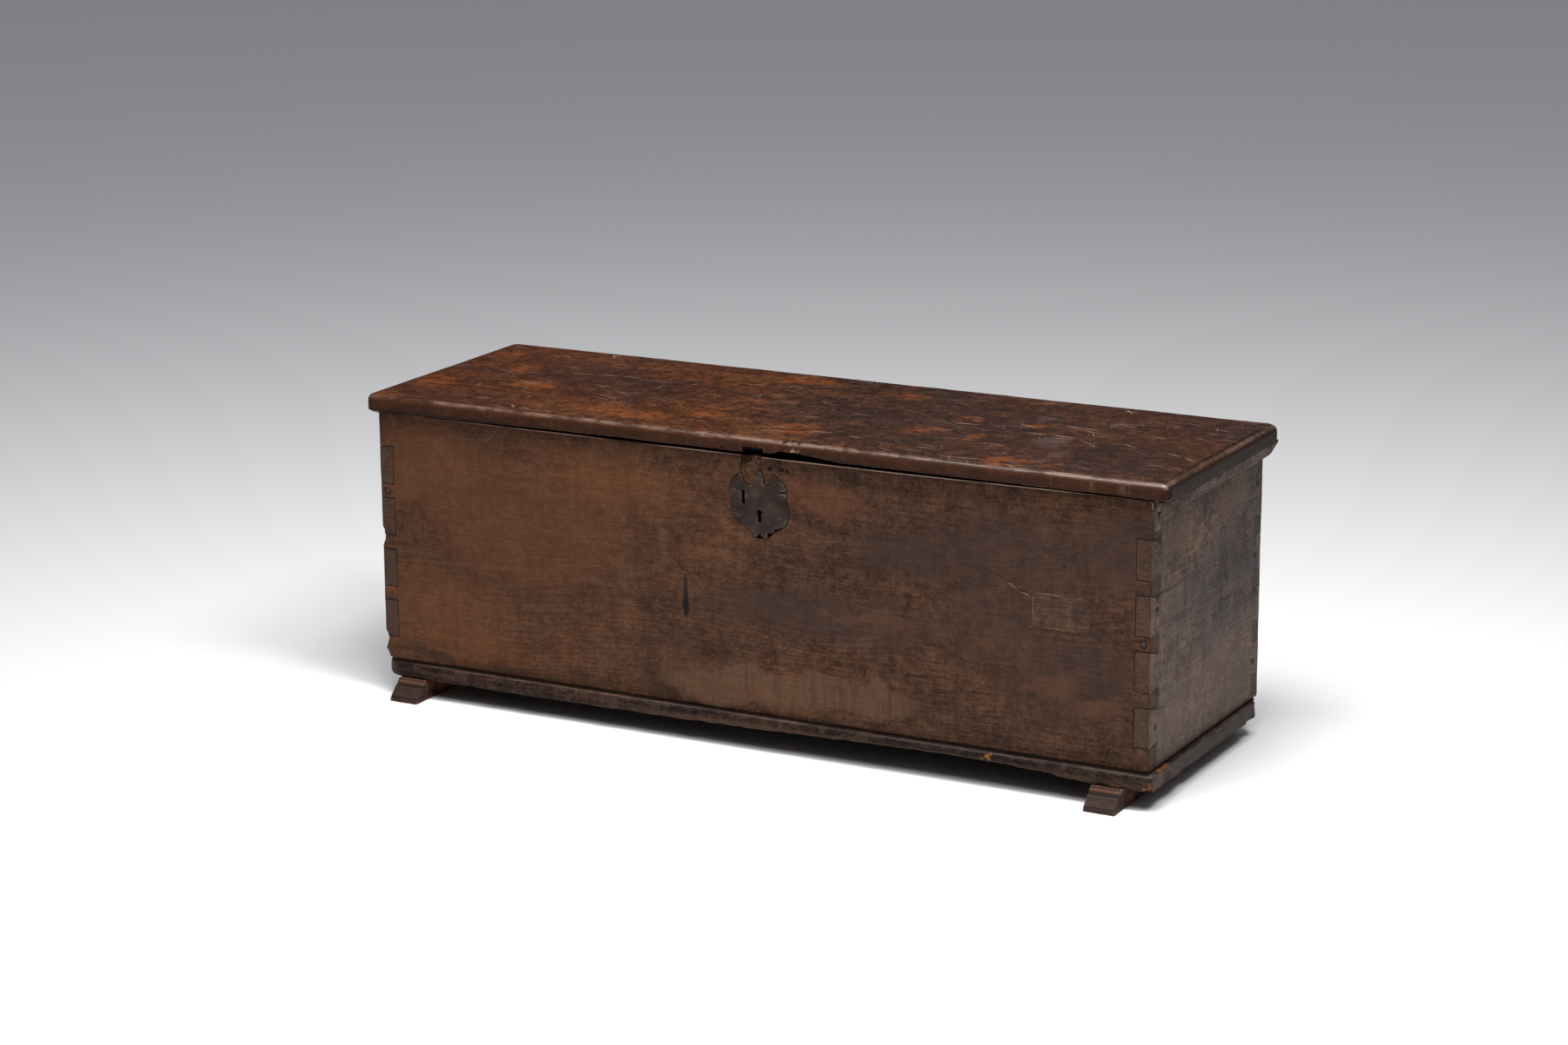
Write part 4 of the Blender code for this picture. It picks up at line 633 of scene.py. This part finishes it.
def iron_finish(name="waxed iron", tint=(52, 43, 39), shaded_keyhole=False):
    finish = Finish(name, metallic=0.12)
    rust = finish.noise(38, 5, 0.65)
    pits = finish.noise(420, 3, 0.7)
    colour = finish.shades(rust, (0.34, (38, 31, 28)), (0.52, tint), (0.7, (70, 54, 46)))
    colour = finish.mix(colour, (34, 28, 26), finish.step(pits, 0.46, 0.34) * 0.6)
    colour = finish.mix(colour, (124, 108, 98), finish.step(pits, 0.6, 0.76) * 0.5)
    wear = finish.attribute("wear")
    colour = finish.mix(colour, (112, 98, 90), wear * finish.step(rust, 0.46, 0.6, 0.4))
    if shaded_keyhole:
        # Painted shade: a near-black disc for the shadow in the keyhole's round top.
        keyhole_shade = Marks(finish, 0, 2, 0).together(((699.5, 324.6, 5.2, 5),), edge=0.75, ragged=False)
        colour = finish.mix(colour, (6, 5, 5), keyhole_shade)
    hammer = finish.noise(110, 2)
    return finish.dress(colour, 0.42 + rust * 0.3, hammer * 0.35 + pits * 0.14 - finish.step(pits, 0.62, 0.75) * 0.1)


# Boards with worn shapes


def welded(node):
    """A welded copy of a CAD piece, its flat triangles joined."""
    bm = bmesh.new()
    bm.from_mesh(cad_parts[node].data)
    bmesh.ops.remove_doubles(bm, verts=bm.verts, dist=0.00001)
    bmesh.ops.dissolve_limit(bm, angle_limit=math.radians(0.5), verts=bm.verts, edges=bm.edges)
    return bm


def cut_up(bm, axis, places):
    """Cut a mesh by planes square to an axis, so that it can bend there."""
    normal = ORIGIN.copy()
    normal[axis] = 1
    for place in places:
        point = ORIGIN.copy()
        point[axis] = place
        geometry = bm.verts[:] + bm.edges[:] + bm.faces[:]
        bmesh.ops.bisect_plane(bm, geom=geometry, plane_co=point, plane_no=normal, dist=0.00002)


def cuts_between(low, high, spacing, fine=(0.0007, 0.0018, 0.0034, 0.006)):
    """Evenly spaced cuts with a few finer ones close to both ends."""
    count = max(1, round((high - low) / spacing))
    even = [low + (high - low) * i / count for i in range(1, count)]
    ends = [low + step for step in fine] + [high - step for step in fine]
    inner = [place for place in even if low + fine[-1] * 1.3 < place < high - fine[-1] * 1.3]
    return sorted(inner + [place for place in ends if low < place < high])


def rough(point, scale, seed):
    return noise.fractal(Vector(point) * scale + Vector((seed, seed * 2.3, seed * 0.7)), 1, 2.1, 4)


def rounded_over(point, low, high, radius):
    """Draw a point in, so that the arrises of a box are rounded."""
    inner = Vector([min(max(point[i], low[i] + radius), high[i] - radius) for i in range(3)])
    away = point - inner
    if away.length > radius:
        return inner + away * (radius / away.length)
    return point


def nearness_to_arris(point, low, high, reach):
    """1 on an arris of a box, 0 beyond the reach."""
    gaps = sorted(min(abs(point[i] - low[i]), abs(high[i] - point[i])) for i in range(3))
    return max(0, 1 - gaps[1] / reach)


class Bite:
    """A place where the wood is chewed, chipped or dented."""

    def __init__(self, centre, radius, push, ragged=0.5):
        self.centre = CASE_LOW + Vector(centre)
        self.radius = radius
        self.push = Vector(push)
        self.ragged = ragged

    def moved(self, point):
        distance = (point - self.centre).length / self.radius
        distance += self.ragged * rough(point, 160, 3.1) * 0.8
        if distance >= 1:
            return point
        share = 1 - distance * distance
        return point + self.push * share


def worn_board(node, body, finish, along, spacing, box=None, radius=0.0012, waver=0.0003, bites=(), fine=None,
               warp=None, slot="walnut"):
    """A board with uneven arrises, a slightly wavy surface and bites out of it."""
    bm = welded(node)
    low, high = [Vector(corner) for corner in (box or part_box(node))]
    for axis in range(3):
        places = cuts_between(low[axis], high[axis], spacing[axis])
        for start, end, step in (fine or {}).get(axis, ()):
            count = round((end - start) / step)
            places += [CASE_LOW[axis] + start + (end - start) * i / count for i in range(count + 1)]
        cut_up(bm, axis, sorted(places))
    ends = bm.faces.layers.float.new("end_grain")
    tops = bm.faces.layers.float.new("upward")
    wear = bm.verts.layers.float.new("wear")
    for face in bm.faces:
        face[ends] = 1 if abs(face.normal[along]) > 0.75 else 0
        face[tops] = 1 if face.normal.z > 0.75 else 0
    normals = {vert: vert.normal.copy() for vert in bm.verts}
    for vert in bm.verts:
        point = vert.co.copy()
        vert[wear] = nearness_to_arris(point, low, high, 0.011)
        if radius:
            own = radius * (1 + 0.9 * rough(point, 22, 1.7))
            point = rounded_over(point, low, high, max(own, 0.0004))
        shift = waver * rough(point, 9, 5.2) + waver * 0.5 * rough(point, 60, 8.4)
        point = point + normals[vert] * shift
        for bite in bites:
            point = bite.moved(point)
        if warp:
            point = warp(point)
        vert.co = point
    bmesh.ops.triangulate(bm, faces=[face for face in bm.faces if len(face.verts) > 4])
    return finished(node + "_worn", bm, body, finish, (node,), slot)


def made(name, bm):
    """A new object with this mesh."""
    mesh = bpy.data.meshes.new(name)
    bm.to_mesh(mesh)
    bm.free()
    return bpy.data.objects.new(name, mesh)


def finished(name, bm, body, material, nodes=(), slot=None):
    """Turn a mesh into a piece that rides on a body and may stand for CAD nodes."""
    return shown(made(name, bm), body, material, nodes, slot)


def shown(piece, body, material, nodes, slot, sharp=38):
    """Show a piece that stands for the nodes, smooth but for its edges sharper than so many degrees."""
    if piece.name not in bpy.context.scene.collection.objects:
        bpy.context.scene.collection.objects.link(piece)
    piece.data.materials.clear()
    piece.data.materials.append(material)
    piece.data.shade_smooth()
    piece.data.set_sharp_from_angle(angle=math.radians(sharp))
    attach(piece, body)
    if nodes:
        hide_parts(*nodes)
    return piece


def dress_boards():
    case_box = (CASE_LOW, CASE_HIGH)
    front, side = front_finish(), side_finish()
    back = plain_finish("back walnut", 0, ((44, 35, 31), (68, 54, 47), (90, 72, 62)),
                        ((50, 37, 30), (80, 60, 48), (104, 80, 63)), (60, 50, 44), (4, 8, 2))
    corner_bites = (
        Bite((0, 0, 0), 0.012, (0.004, 0.003, 0.001)),
        Bite((0, 0, 0.034), 0.01, (0.004, 0.002, 0)),
        Bite((0, 0, 0.2095), 0.0065, (0.006, 0.003, 0)),
        Bite((0, 0, 0.2145), 0.004, (0.0035, 0.001, 0)),
        Bite((CASE.x, 0, CASE.z), 0.01, (-0.002, 0.002, -0.001)),
        Bite((CASE.x, 0, 0.362), 0.007, (-0.002, 0.002, 0)),
        Bite((CASE.x, 0, 0.3), 0.006, (-0.0015, 0.0015, 0)),
        Bite((CASE.x, 0, 0.195), 0.007, (-0.0015, 0.002, 0)),
    )
    hollow = (
        Bite((0.675, 0, 0.412), 0.01, (0, 0.004, -0.003), 1),
        Bite((0.696, 0, 0.405), 0.009, (0, 0.004, -0.001), 1),
        Bite((0.686, 0, 0.392), 0.009, (0, 0.003, 0), 1),
    )
    fine = {0: ((0.658, 0.711, 0.0025),), 2: ((0.375, 0.412, 0.0025),)}
    worn_board("front_board", "case", front, 0, (0.014, 0.02, 0.016), case_box, 0.0014, 0.00035,
               corner_bites + hollow, fine, case_warp)
    worn_board("back_board", "case", back, 0, (0.03, 0.02, 0.03), case_box, 0.0016, 0.00035, corner_bites)
    worn_board("left_end_board", "case", side, 1, (0.02, 0.016, 0.016), case_box, 0.0016, 0.00035, corner_bites)
    worn_board("right_end_board", "case", side, 1, (0.02, 0.012, 0.012), case_box, 0.0014, 0.00035,
               corner_bites, warp=case_warp)
    base_bites = [
        Bite((BASE_RIGHT, BASE_FRONT, -0.022), 0.012, (-0.0015, 0.002, 0.0015), 1.2),
        Bite((BASE_RIGHT, 0.43, -0.012), 0.018, (-0.004, -0.005, 0), 1.2),
        Bite((-0.001, BASE_FRONT, -0.012), 0.012, (0.003, 0.003, 0), 1),
    ]
    chance = random.Random(4)
    for _ in range(34):
        x = chance.uniform(0.12, 1.28)
        base_bites.append(Bite((x, BASE_FRONT, -0.0245), chance.uniform(0.006, 0.016),
                               (0, 0.001, chance.uniform(0.0003, 0.0015)), 1))
    for _ in range(16):
        y = chance.uniform(0.02, 0.42)
        base_bites.append(Bite((BASE_RIGHT, y, chance.choice((-0.0245, -0.002))), chance.uniform(0.005, 0.012),
                               (-chance.uniform(0.001, 0.0035), 0, 0), 1.2))
    worn_board("base_board", "case", base_finish(), 0, (0.007, 0.012, 0.005), radius=0, waver=0.0006,
               bites=base_bites)


def eased(share):
    """Smoothly from 0 to 1 while the share goes from 0 to 1."""
    share = min(max(share, 0), 1)
    return share * share * (3 - 2 * share)


def case_warp(point):
    """The front's top edge rises a little towards its right end."""
    right = eased((point.x - CASE_LOW.x - 0.85) / 0.45)
    upper = eased((point.z - CASE_LOW.z - 0.35) / 0.063)
    forward = eased(1.2 - (point.y - CASE_LOW.y) / 0.16)
    point.z += 0.0026 * right * upper * forward
    return point


def lid_warp(point):
    """The plank has warped and is worn below: its front lifts at the right and hangs at the left."""
    across = (point.x - LID_LOW.x) / (LID_HIGH.x - LID_LOW.x)
    forward = 1 - (point.y - LID_LOW.y) / (LID_HIGH.y - LID_LOW.y)
    depth = min(1, (LID_HIGH.z - point.z) / (LID_HIGH.z - LID_LOW.z))
    upper = (0.0018 * across - 0.0006 * math.sin(math.pi * across)) * forward
    lower = (0.0038 * eased((across - 0.03) / 0.32) - 0.0021) * eased((forward - 0.86) / 0.12)
    point.z += upper * (1 - depth) + lower * depth
    return point


def dress_lid():
    chance = random.Random(11)
    bites = [
        Bite((0.7465, -0.0058, LID_TOP - 0.0015), 0.0048, (0, 0.002, -0.004), 0.2),
        Bite((0.76, -0.01, LID_TOP - 0.005), 0.011, (0, 0.0012, -0.001), 1),
        Bite((CASE.x + 0.026, LID_FRONT, LID_BOTTOM), 0.01, (-0.0012, 0.0018, 0.0012), 1.2),
    ]
    for _ in range(46):
        x = chance.uniform(0, CASE.x)
        z = chance.choice((LID_BOTTOM + 0.001, LID_TOP - 0.004, LID_TOP - 0.012))
        bites.append(Bite((x, LID_FRONT, z), chance.uniform(0.004, 0.014),
                          (0, chance.uniform(0.0003, 0.0012), 0), 1))
    fine = {0: ((0.655, 0.85, 0.003),)}
    worn_board("lid_board", "lid", lid_finish(), 0, (0.0085, 0.02, 0.0045), radius=0, waver=0.00055,
               bites=bites, fine=fine, warp=lid_warp, slot="lid_walnut")
    cleat = plain_finish("cleat walnut", 1, ((44, 37, 35), (76, 65, 62), (106, 94, 90)),
                         ((42, 33, 30), (78, 63, 57), (108, 89, 80)), (96, 66, 44), (1, 5, 5), 0.6, LID_BOTTOM)
    right = (
        Bite((CASE.x + 0.012, 0, LID_BOTTOM - 0.004), 0.018, (0, 0.007, 0.002), 1.4),
        Bite((CASE.x + 0.018, 0.02, LID_BOTTOM - 0.01), 0.012, (-0.002, 0, 0.003), 1.4),
    )
    for hand, bites in (("left", ()), ("right", right)):
        worn_board(f"lid_cleat_{hand}", "lid", cleat, 1, (0.005, 0.006, 0.0045), waver=0.0006, bites=bites,
                   warp=lid_warp)


def dress_feet_and_patches():
    wood = Wood("foot walnut", 1, ((38, 28, 25), (62, 47, 41), (86, 68, 58)),
                ((46, 30, 22), (78, 53, 38), (112, 78, 54)), shift=(6, 3, 8), contrast=1.1)
    orange = wood.step(wood.noise(30, 3), 0.42, 0.6)
    side = wood.step(wood.y, -0.018, 0)
    wood.tint((150, 94, 52), orange * side * 0.5)
    toe = wood.step(wood.y, -0.015, -0.021)
    wood.tint((52, 39, 36), toe * 0.8)
    low, high = [corner - CASE_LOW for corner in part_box("foot_right")]
    # Painted light and shade on the toe's mouldings: the upper fillet paler, the groove under it and a line near the
    # bottom darker.
    lit_fillet = wood.step(wood.z - high.z, -0.0085, -0.007)
    shaded_groove = wood.step(abs(wood.z - high.z + 0.0092), 0.0016, 0.0006)
    lower = wood.step(abs(wood.z - low.z - 0.0075), 0.0014, 0.0005)
    wood.tint((104, 68, 46), toe * lit_fillet * 0.6)
    wood.darken(toe * wood.greater(shaded_groove, lower) * 0.85)
    wood.end_grain((54, 42, 37))
    wood.worn_edges((150, 104, 70), 0.6)
    feet = wood.done()
    for hand in ("left", "right"):
        worn_board(f"foot_{hand}", "case", feet, 1, (0.006, 0.007, 0.0035), radius=0.0011, waver=0.0005,
                   slot="foot_wood")
    patch = plain_finish("patch walnut", 0, ((46, 34, 29), (66, 49, 41), (84, 64, 53)),
                         ((54, 38, 30), (76, 54, 42), (94, 70, 55)), (72, 54, 44), (8, 8, 3), 0.25)
    worn_board("front_patch", "case", patch, 0, (0.01, 0.01, 0.01), radius=0.0006, waver=0.00015,
               slot="patch_wood")
    side_patch = plain_finish("side patch wood", 1, ((62, 52, 46), (84, 71, 63), (100, 87, 79)),
                              ((68, 54, 45), (94, 77, 66), (112, 94, 81)), (80, 66, 55),
                              (3, 3, 9), 0.25)
    worn_board("side_patch", "case", side_patch, 1, (0.01, 0.01, 0.01), radius=0.0006, waver=0.00015,
               slot="patch_wood")


# Iron


def dress_iron():
    iron = iron_finish(shaded_keyhole=True)
    low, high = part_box("lock_plate")
    bm = welded("lock_plate")
    edges = [edge for edge in bm.edges if edge.calc_face_angle(0) > math.radians(60)]
    bmesh.ops.bevel(bm, geom=edges, offset=0.00035, segments=1, affect="EDGES", clamp_overlap=True)
    for axis in (0, 2):
        count = round((high[axis] - low[axis]) / 0.004)
        cut_up(bm, axis, [low[axis] + (high[axis] - low[axis]) * i / count for i in range(1, count)])
    wear = bm.verts.layers.float.new("wear")
    rims = [v.co.copy() for e in bm.edges if e.calc_face_angle(0) > math.radians(35) for v in e.verts
            if v.co.y < low.y + 0.0008]
    for vert in bm.verts:
        near = min((vert.co - rim).length for rim in rims)
        vert[wear] = max(0, 1 - near / 0.002)
        if vert.co.y < low.y + 0.0008:
            vert.co.y += 0.0003 * rough(vert.co, 70, 2.2)
    finished("lock_plate_forged", bm, "case", iron, ("lock_plate",), "wrought_iron")
    dress_plate_shadow_and_grime()
    pins = iron_finish("hinge iron", (66, 56, 52))
    for node in sorted(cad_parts):
        if node.startswith("hinge_pin"):
            body = "lid" if "_lid_" in node else "case"
            finished(node + "_forged", welded(node), body, pins, (node,), "wrought_iron")
        elif node in ("lock_bolt", "lock_spring", "lock_guide_left", "lock_guide_right"):
            body = "lock_bolt" if node == "lock_bolt" else "case"
            finished(node + "_forged", welded(node), body, iron, (node,), "wrought_iron")


def dress_plate_shadow_and_grime():
    """A thin dark film on the wood around the lock plate, but not in its openings: a painted shadow of the plate's
    edges, with old wax and dirt.
    """
    bm = welded("lock_plate")
    bm.normal_update()
    low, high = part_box("lock_plate")
    middle = (low + high) / 2
    moves = {}
    for vert in bm.verts:
        sides = [face.normal for face in vert.link_faces if abs(face.normal.y) < 0.3]
        outward = sum(sides, ORIGIN)
        outward.y = 0
        inner = abs(vert.co.x - middle.x) < 0.034 and abs(vert.co.z - middle.z) < 0.028
        moves[vert] = ORIGIN if inner or outward.length < 0.1 else outward.normalized() * 0.0015
    for vert, move in moves.items():
        vert.co += move
        vert.co.y = CASE_LOW.y - 0.00035 if vert.co.y < middle.y else CASE_LOW.y + 0.001
    # Painted shadow with grime: a dark speckled film.
    grime = Finish("plate shadow and grime")
    speckle = grime.noise(300, 3, 0.6)
    colour = grime.shades(speckle, (0.4, (20, 14, 11)), (0.65, (46, 32, 25)))
    finished("plate_grime", bm, "case", grime.dress(colour, 0.8, speckle * 0.2), (), "walnut")


def nail_form():
    """A hand-forged nail with a low faceted head of unit radius and a square shank."""
    bm = bmesh.new()
    bmesh.ops.create_uvsphere(bm, u_segments=11, v_segments=8, radius=1)
    for vert in bm.verts:
        vert.co.z = vert.co.z * HEAD_HEIGHT if vert.co.z > 0 else vert.co.z * 0.12
        vert.co += Vector((1, 1, 0.6)) * 0.09 * rough(vert.co, 1.4, 6.6)
    bmesh.ops.create_cone(bm, cap_ends=True, segments=4, radius1=0.12, radius2=0.42, depth=6,
                          matrix=Matrix.Translation((0, 0, -3.02)))
    form = made("nail_form", bm)
    form.data.shade_smooth()
    return form


def scatter_tree(form, material, seed, sizes, lean):
    """Geometry nodes that set a form on each point, turned to the point's way, at the point's size."""
    group = bpy.data.node_groups.new("set on points", "GeometryNodeTree")
    for end in ("INPUT", "OUTPUT"):
        group.interface.new_socket("Geometry", in_out=end, socket_type="NodeSocketGeometry")
    tree = Nodes(group)
    points = tree.add("NodeGroupInput").outputs[0]
    model = tree.add("GeometryNodeObjectInfo", {"transform_space": "ORIGINAL"}, {"Object": form})
    way = tree.add("GeometryNodeInputNamedAttribute", {"data_type": "FLOAT_VECTOR"}, {"Name": "way"})
    size = tree.add("GeometryNodeInputNamedAttribute", {"data_type": "FLOAT"}, {"Name": "size"})
    aimed = tree.add("FunctionNodeAlignRotationToVector", {"axis": "Z"}, {"Vector": way.outputs["Attribute"]})
    chance = tree.add("FunctionNodeRandomValue", {"data_type": "FLOAT_VECTOR"}, {
        "Min": (-1, -1, -1), "Max": (1, 1, 1), "Seed": seed})
    leaned = tree.add("ShaderNodeVectorMath", {"operation": "SCALE"}, {0: chance.outputs[0], "Scale": lean})
    turned = tree.add("FunctionNodeRotateRotation", {"rotation_space": "LOCAL"}, {
        "Rotation": aimed.outputs[0], "Rotate By": leaned.outputs[0]})
    share = tree.add("FunctionNodeRandomValue", {"data_type": "FLOAT"}, {2: sizes[0], 3: sizes[1], "Seed": seed})
    scale = tree.add("ShaderNodeMath", {"operation": "MULTIPLY"}, {0: size.outputs["Attribute"], 1: share.outputs[1]})
    placed = tree.add("GeometryNodeInstanceOnPoints", {}, {
        "Points": points, "Instance": model.outputs["Geometry"],
        "Rotation": turned.outputs[0], "Scale": scale.outputs[0]})
    real = tree.add("GeometryNodeRealizeInstances", {}, {0: placed.outputs[0]})
    painted = tree.add("GeometryNodeSetMaterial", {}, {"Geometry": real.outputs[0], "Material": material})
    tree.feed(tree.add("NodeGroupOutput").inputs[0], painted.outputs[0])
    return group


def set_on_points(name, form, points, chances, body, material, nodes=(), slot=None):
    """Set a form on points that each have a way and a size, and keep the result as one plain mesh."""
    mesh = bpy.data.meshes.new(name + "_points")
    mesh.from_pydata([point for point, way, size in points], [], [])
    mesh.attributes.new("way", "FLOAT_VECTOR", "POINT")
    mesh.attributes.new("size", "FLOAT", "POINT")
    for i, (point, way, size) in enumerate(points):
        mesh.attributes["way"].data[i].vector = way
        mesh.attributes["size"].data[i].value = size
    host = bpy.data.objects.new(name + "_host", mesh)
    bpy.context.scene.collection.objects.link(host)
    host.modifiers.new("set on points", "NODES").node_group = scatter_tree(form, material, *chances)
    bpy.context.view_layer.update()
    evaluated = host.evaluated_get(bpy.context.evaluated_depsgraph_get())
    result = bpy.data.meshes.new_from_object(evaluated)
    bpy.data.objects.remove(host)
    piece = bpy.data.objects.new(name, result)
    return shown(piece, body, material, nodes, slot, 40)


def seats(prefixes):
    """Where nails sit: each CAD nail gives its head's middle, the way it points and the head's radius."""
    ways = {"plate_nail": (0, -1, 0), "face_nail": (0, -1, 0), "corner_nail_left": (-1, 0, 0),
            "corner_nail_right": (1, 0, 0), "base_nail": (0, 0, -1), "foot_nail": (0, 0, 1),
            "cleat_nail": (0, 0, -1)}
    points, nodes = [], []
    for node in sorted(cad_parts):
        kind = next((prefix for prefix in prefixes if node.startswith(prefix)), None)
        if kind is None:
            continue
        low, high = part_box(node)
        way = Vector(next(ways[key] for key in ways if node.startswith(key)))
        middle = (low + high) / 2
        axis = max(range(3), key=lambda i: abs(way[i]))
        size = sorted((high - low)[i] for i in range(3) if i != axis)[0] / 2
        face = (high if way[axis] > 0 else low)[axis]
        middle[axis] = face - way[axis] * size * HEAD_HEIGHT
        points.append((tuple(middle), tuple(way), size))
        nodes.append(node)
    return points, nodes


def dress_nails():
    form = nail_form()
    material = iron_finish("nail iron", (66, 56, 51))
    for name, prefixes, body in (
            ("case_nails", ("plate_nail", "face_nail", "corner_nail", "base_nail", "foot_nail"), "case"),
            ("lid_nails", ("cleat_nail",), "lid")):
        points, nodes = seats(prefixes)
        if body == "case":
            points += [(tuple(CASE_LOW + Vector((x, -0.0012, z))), (0, -1, 0), 0.0034)
                       for x, z in ((0.6925, 0.2885), (0.7092, 0.2877))]
        set_on_points(name, form, points, (7, (0.9, 1), 0.12), body, material, nodes, "wrought_iron")
    bpy.data.objects.remove(form)


def splinter_form():
    """A thin torn fibre, one unit long, that tapers to both ends."""
    bm = bmesh.new()
    rings = []
    for along, radius in ((-0.5, 0), (-0.25, 0.05), (0.1, 0.06), (0.35, 0.035), (0.5, 0)):
        if radius == 0:
            rings.append([bm.verts.new((0, 0.02 * along, along))])
        else:
            rings.append([bm.verts.new((radius * math.cos(a), radius * 0.6 * math.sin(a), along))
                          for a in (0.3, 1.9, 3.5, 5.1)])
    for lower, upper in zip(rings, rings[1:]):
        for i in range(4):
            j = (i + 1) % 4
            ring = [lower[i % len(lower)], lower[j % len(lower)], upper[j % len(upper)], upper[i % len(upper)]]
            corners = list(dict.fromkeys(ring))
            bm.faces.new(corners)
    bmesh.ops.recalc_face_normals(bm, faces=bm.faces)
    return made("splinter_form", bm)


def dress_splinters():
    """Torn fibres in the hollow above the lock plate."""
    chance = random.Random(21)
    form = splinter_form()
    finish = Finish("torn fibres")
    shade = finish.noise(120, 2)
    colour = finish.shades(shade, (0.35, (52, 37, 28)), (0.52, (92, 68, 50)), (0.66, (176, 150, 122)))
    torn = finish.dress(colour, 0.8, shade * 0.1)
    points = []
    for _ in range(46):
        x = chance.uniform(0.668, 0.701)
        z = chance.uniform(0.384, 0.411)
        y = 0.0052 * (z - 0.379) / 0.034 + chance.uniform(-0.0004, 0.0004)
        way = Vector((chance.uniform(-0.25, 0.25), chance.uniform(-0.1, 0.1), 1)).normalized()
        points.append((tuple(CASE_LOW + Vector((x, y + 0.0003, z))), tuple(way), chance.uniform(0.003, 0.009)))
    set_on_points("hollow_splinters", form, points, (3, (0.8, 1.2), 0.2), "case", torn, slot="patch_wood")
    bpy.data.objects.remove(form)


# The stage


def make_stage():
    """A plain pale floor that runs on behind the chest."""
    bm = bmesh.new()
    corners = [(-40, -30), (40, -30), (40, 60), (-40, 60)]
    bm.faces.new([bm.verts.new((x, y, 0)) for x, y in corners])
    floor = made("studio_floor", bm)
    bpy.context.scene.collection.objects.link(floor)
    finish = Finish("pale floor", 0.9)
    finish.shader.inputs["Base Color"].default_value = (0.78, 0.78, 0.79, 1)
    floor.data.materials.append(finish.material)


def lamp(name, place, aim, size, power, colour=(1, 1, 1)):
    data = bpy.data.lights.new(name, "AREA")
    data.shape = "RECTANGLE"
    data.size, data.size_y = size
    data.energy = power
    data.color = colour
    light = bpy.data.objects.new(name, data)
    light.location = place
    light.rotation_euler = (Vector(aim) - Vector(place)).to_track_quat("-Z", "Y").to_euler()
    bpy.context.scene.collection.objects.link(light)


def make_lights():
    """Soft light from above and in front, over a dome that is bright only overhead."""
    world = bpy.data.worlds.new("studio")
    world.use_nodes = True
    nodes = Nodes(world.node_tree)
    place = nodes.add("ShaderNodeTexCoord").outputs["Generated"]
    height = nodes.add("ShaderNodeSeparateXYZ", {}, {0: place}).outputs["Z"]
    dome = nodes.ramp(height, (0.35, (0.05, 0.05, 0.053, 1)), (0.9, (0.4, 0.41, 0.43, 1)))
    nodes.feed(nodes.tree.nodes["Background"].inputs[0], dome)
    bpy.context.scene.world = world
    lamp("overhead", (0.55, -0.85, 3.1), (0.1, -0.1, 0.2), (1.1, 1), 54)
    lamp("front", (0.4, -2.1, 3.4), (0, -0.1, 0.2), (1.8, 1.2), 62)
    lamp("right", (1.9, -0.9, 3.3), (0.3, -0.1, 0.2), (1, 1), 74, (1, 0.985, 0.97))
    lamp("sheen", (-0.95, -0.95, 3.1), (0, -0.2, 0.45), (1, 0.6), 22)


def make_camera():
    """The photograph's view, fitted to the corners of the case."""
    yaw, pitch, roll = 28.156, 90 - 14.491, -0.401
    data = bpy.data.cameras.new("camera")
    data.sensor_width = 36
    data.lens = FOCAL_PIXELS / PICTURE_PIXELS * data.sensor_width
    data.clip_end = 60
    camera = bpy.data.objects.new("camera", data)
    camera.matrix_world = Matrix.Translation(CASE_LOW + Vector((3.3633, -4.8991, 1.7496)))
    for degrees, axis in ((yaw, "Z"), (pitch, "X"), (roll, "Z")):
        camera.matrix_world @= Matrix.Rotation(math.radians(degrees), 4, axis)
    bpy.context.scene.collection.objects.link(camera)
    bpy.context.scene.camera = camera


make_camera()
make_stage()
make_lights()
dress_boards()
dress_lid()
dress_feet_and_patches()
dress_iron()
dress_nails()
dress_splinters()
bpy.context.scene.view_settings.view_transform = "Standard"
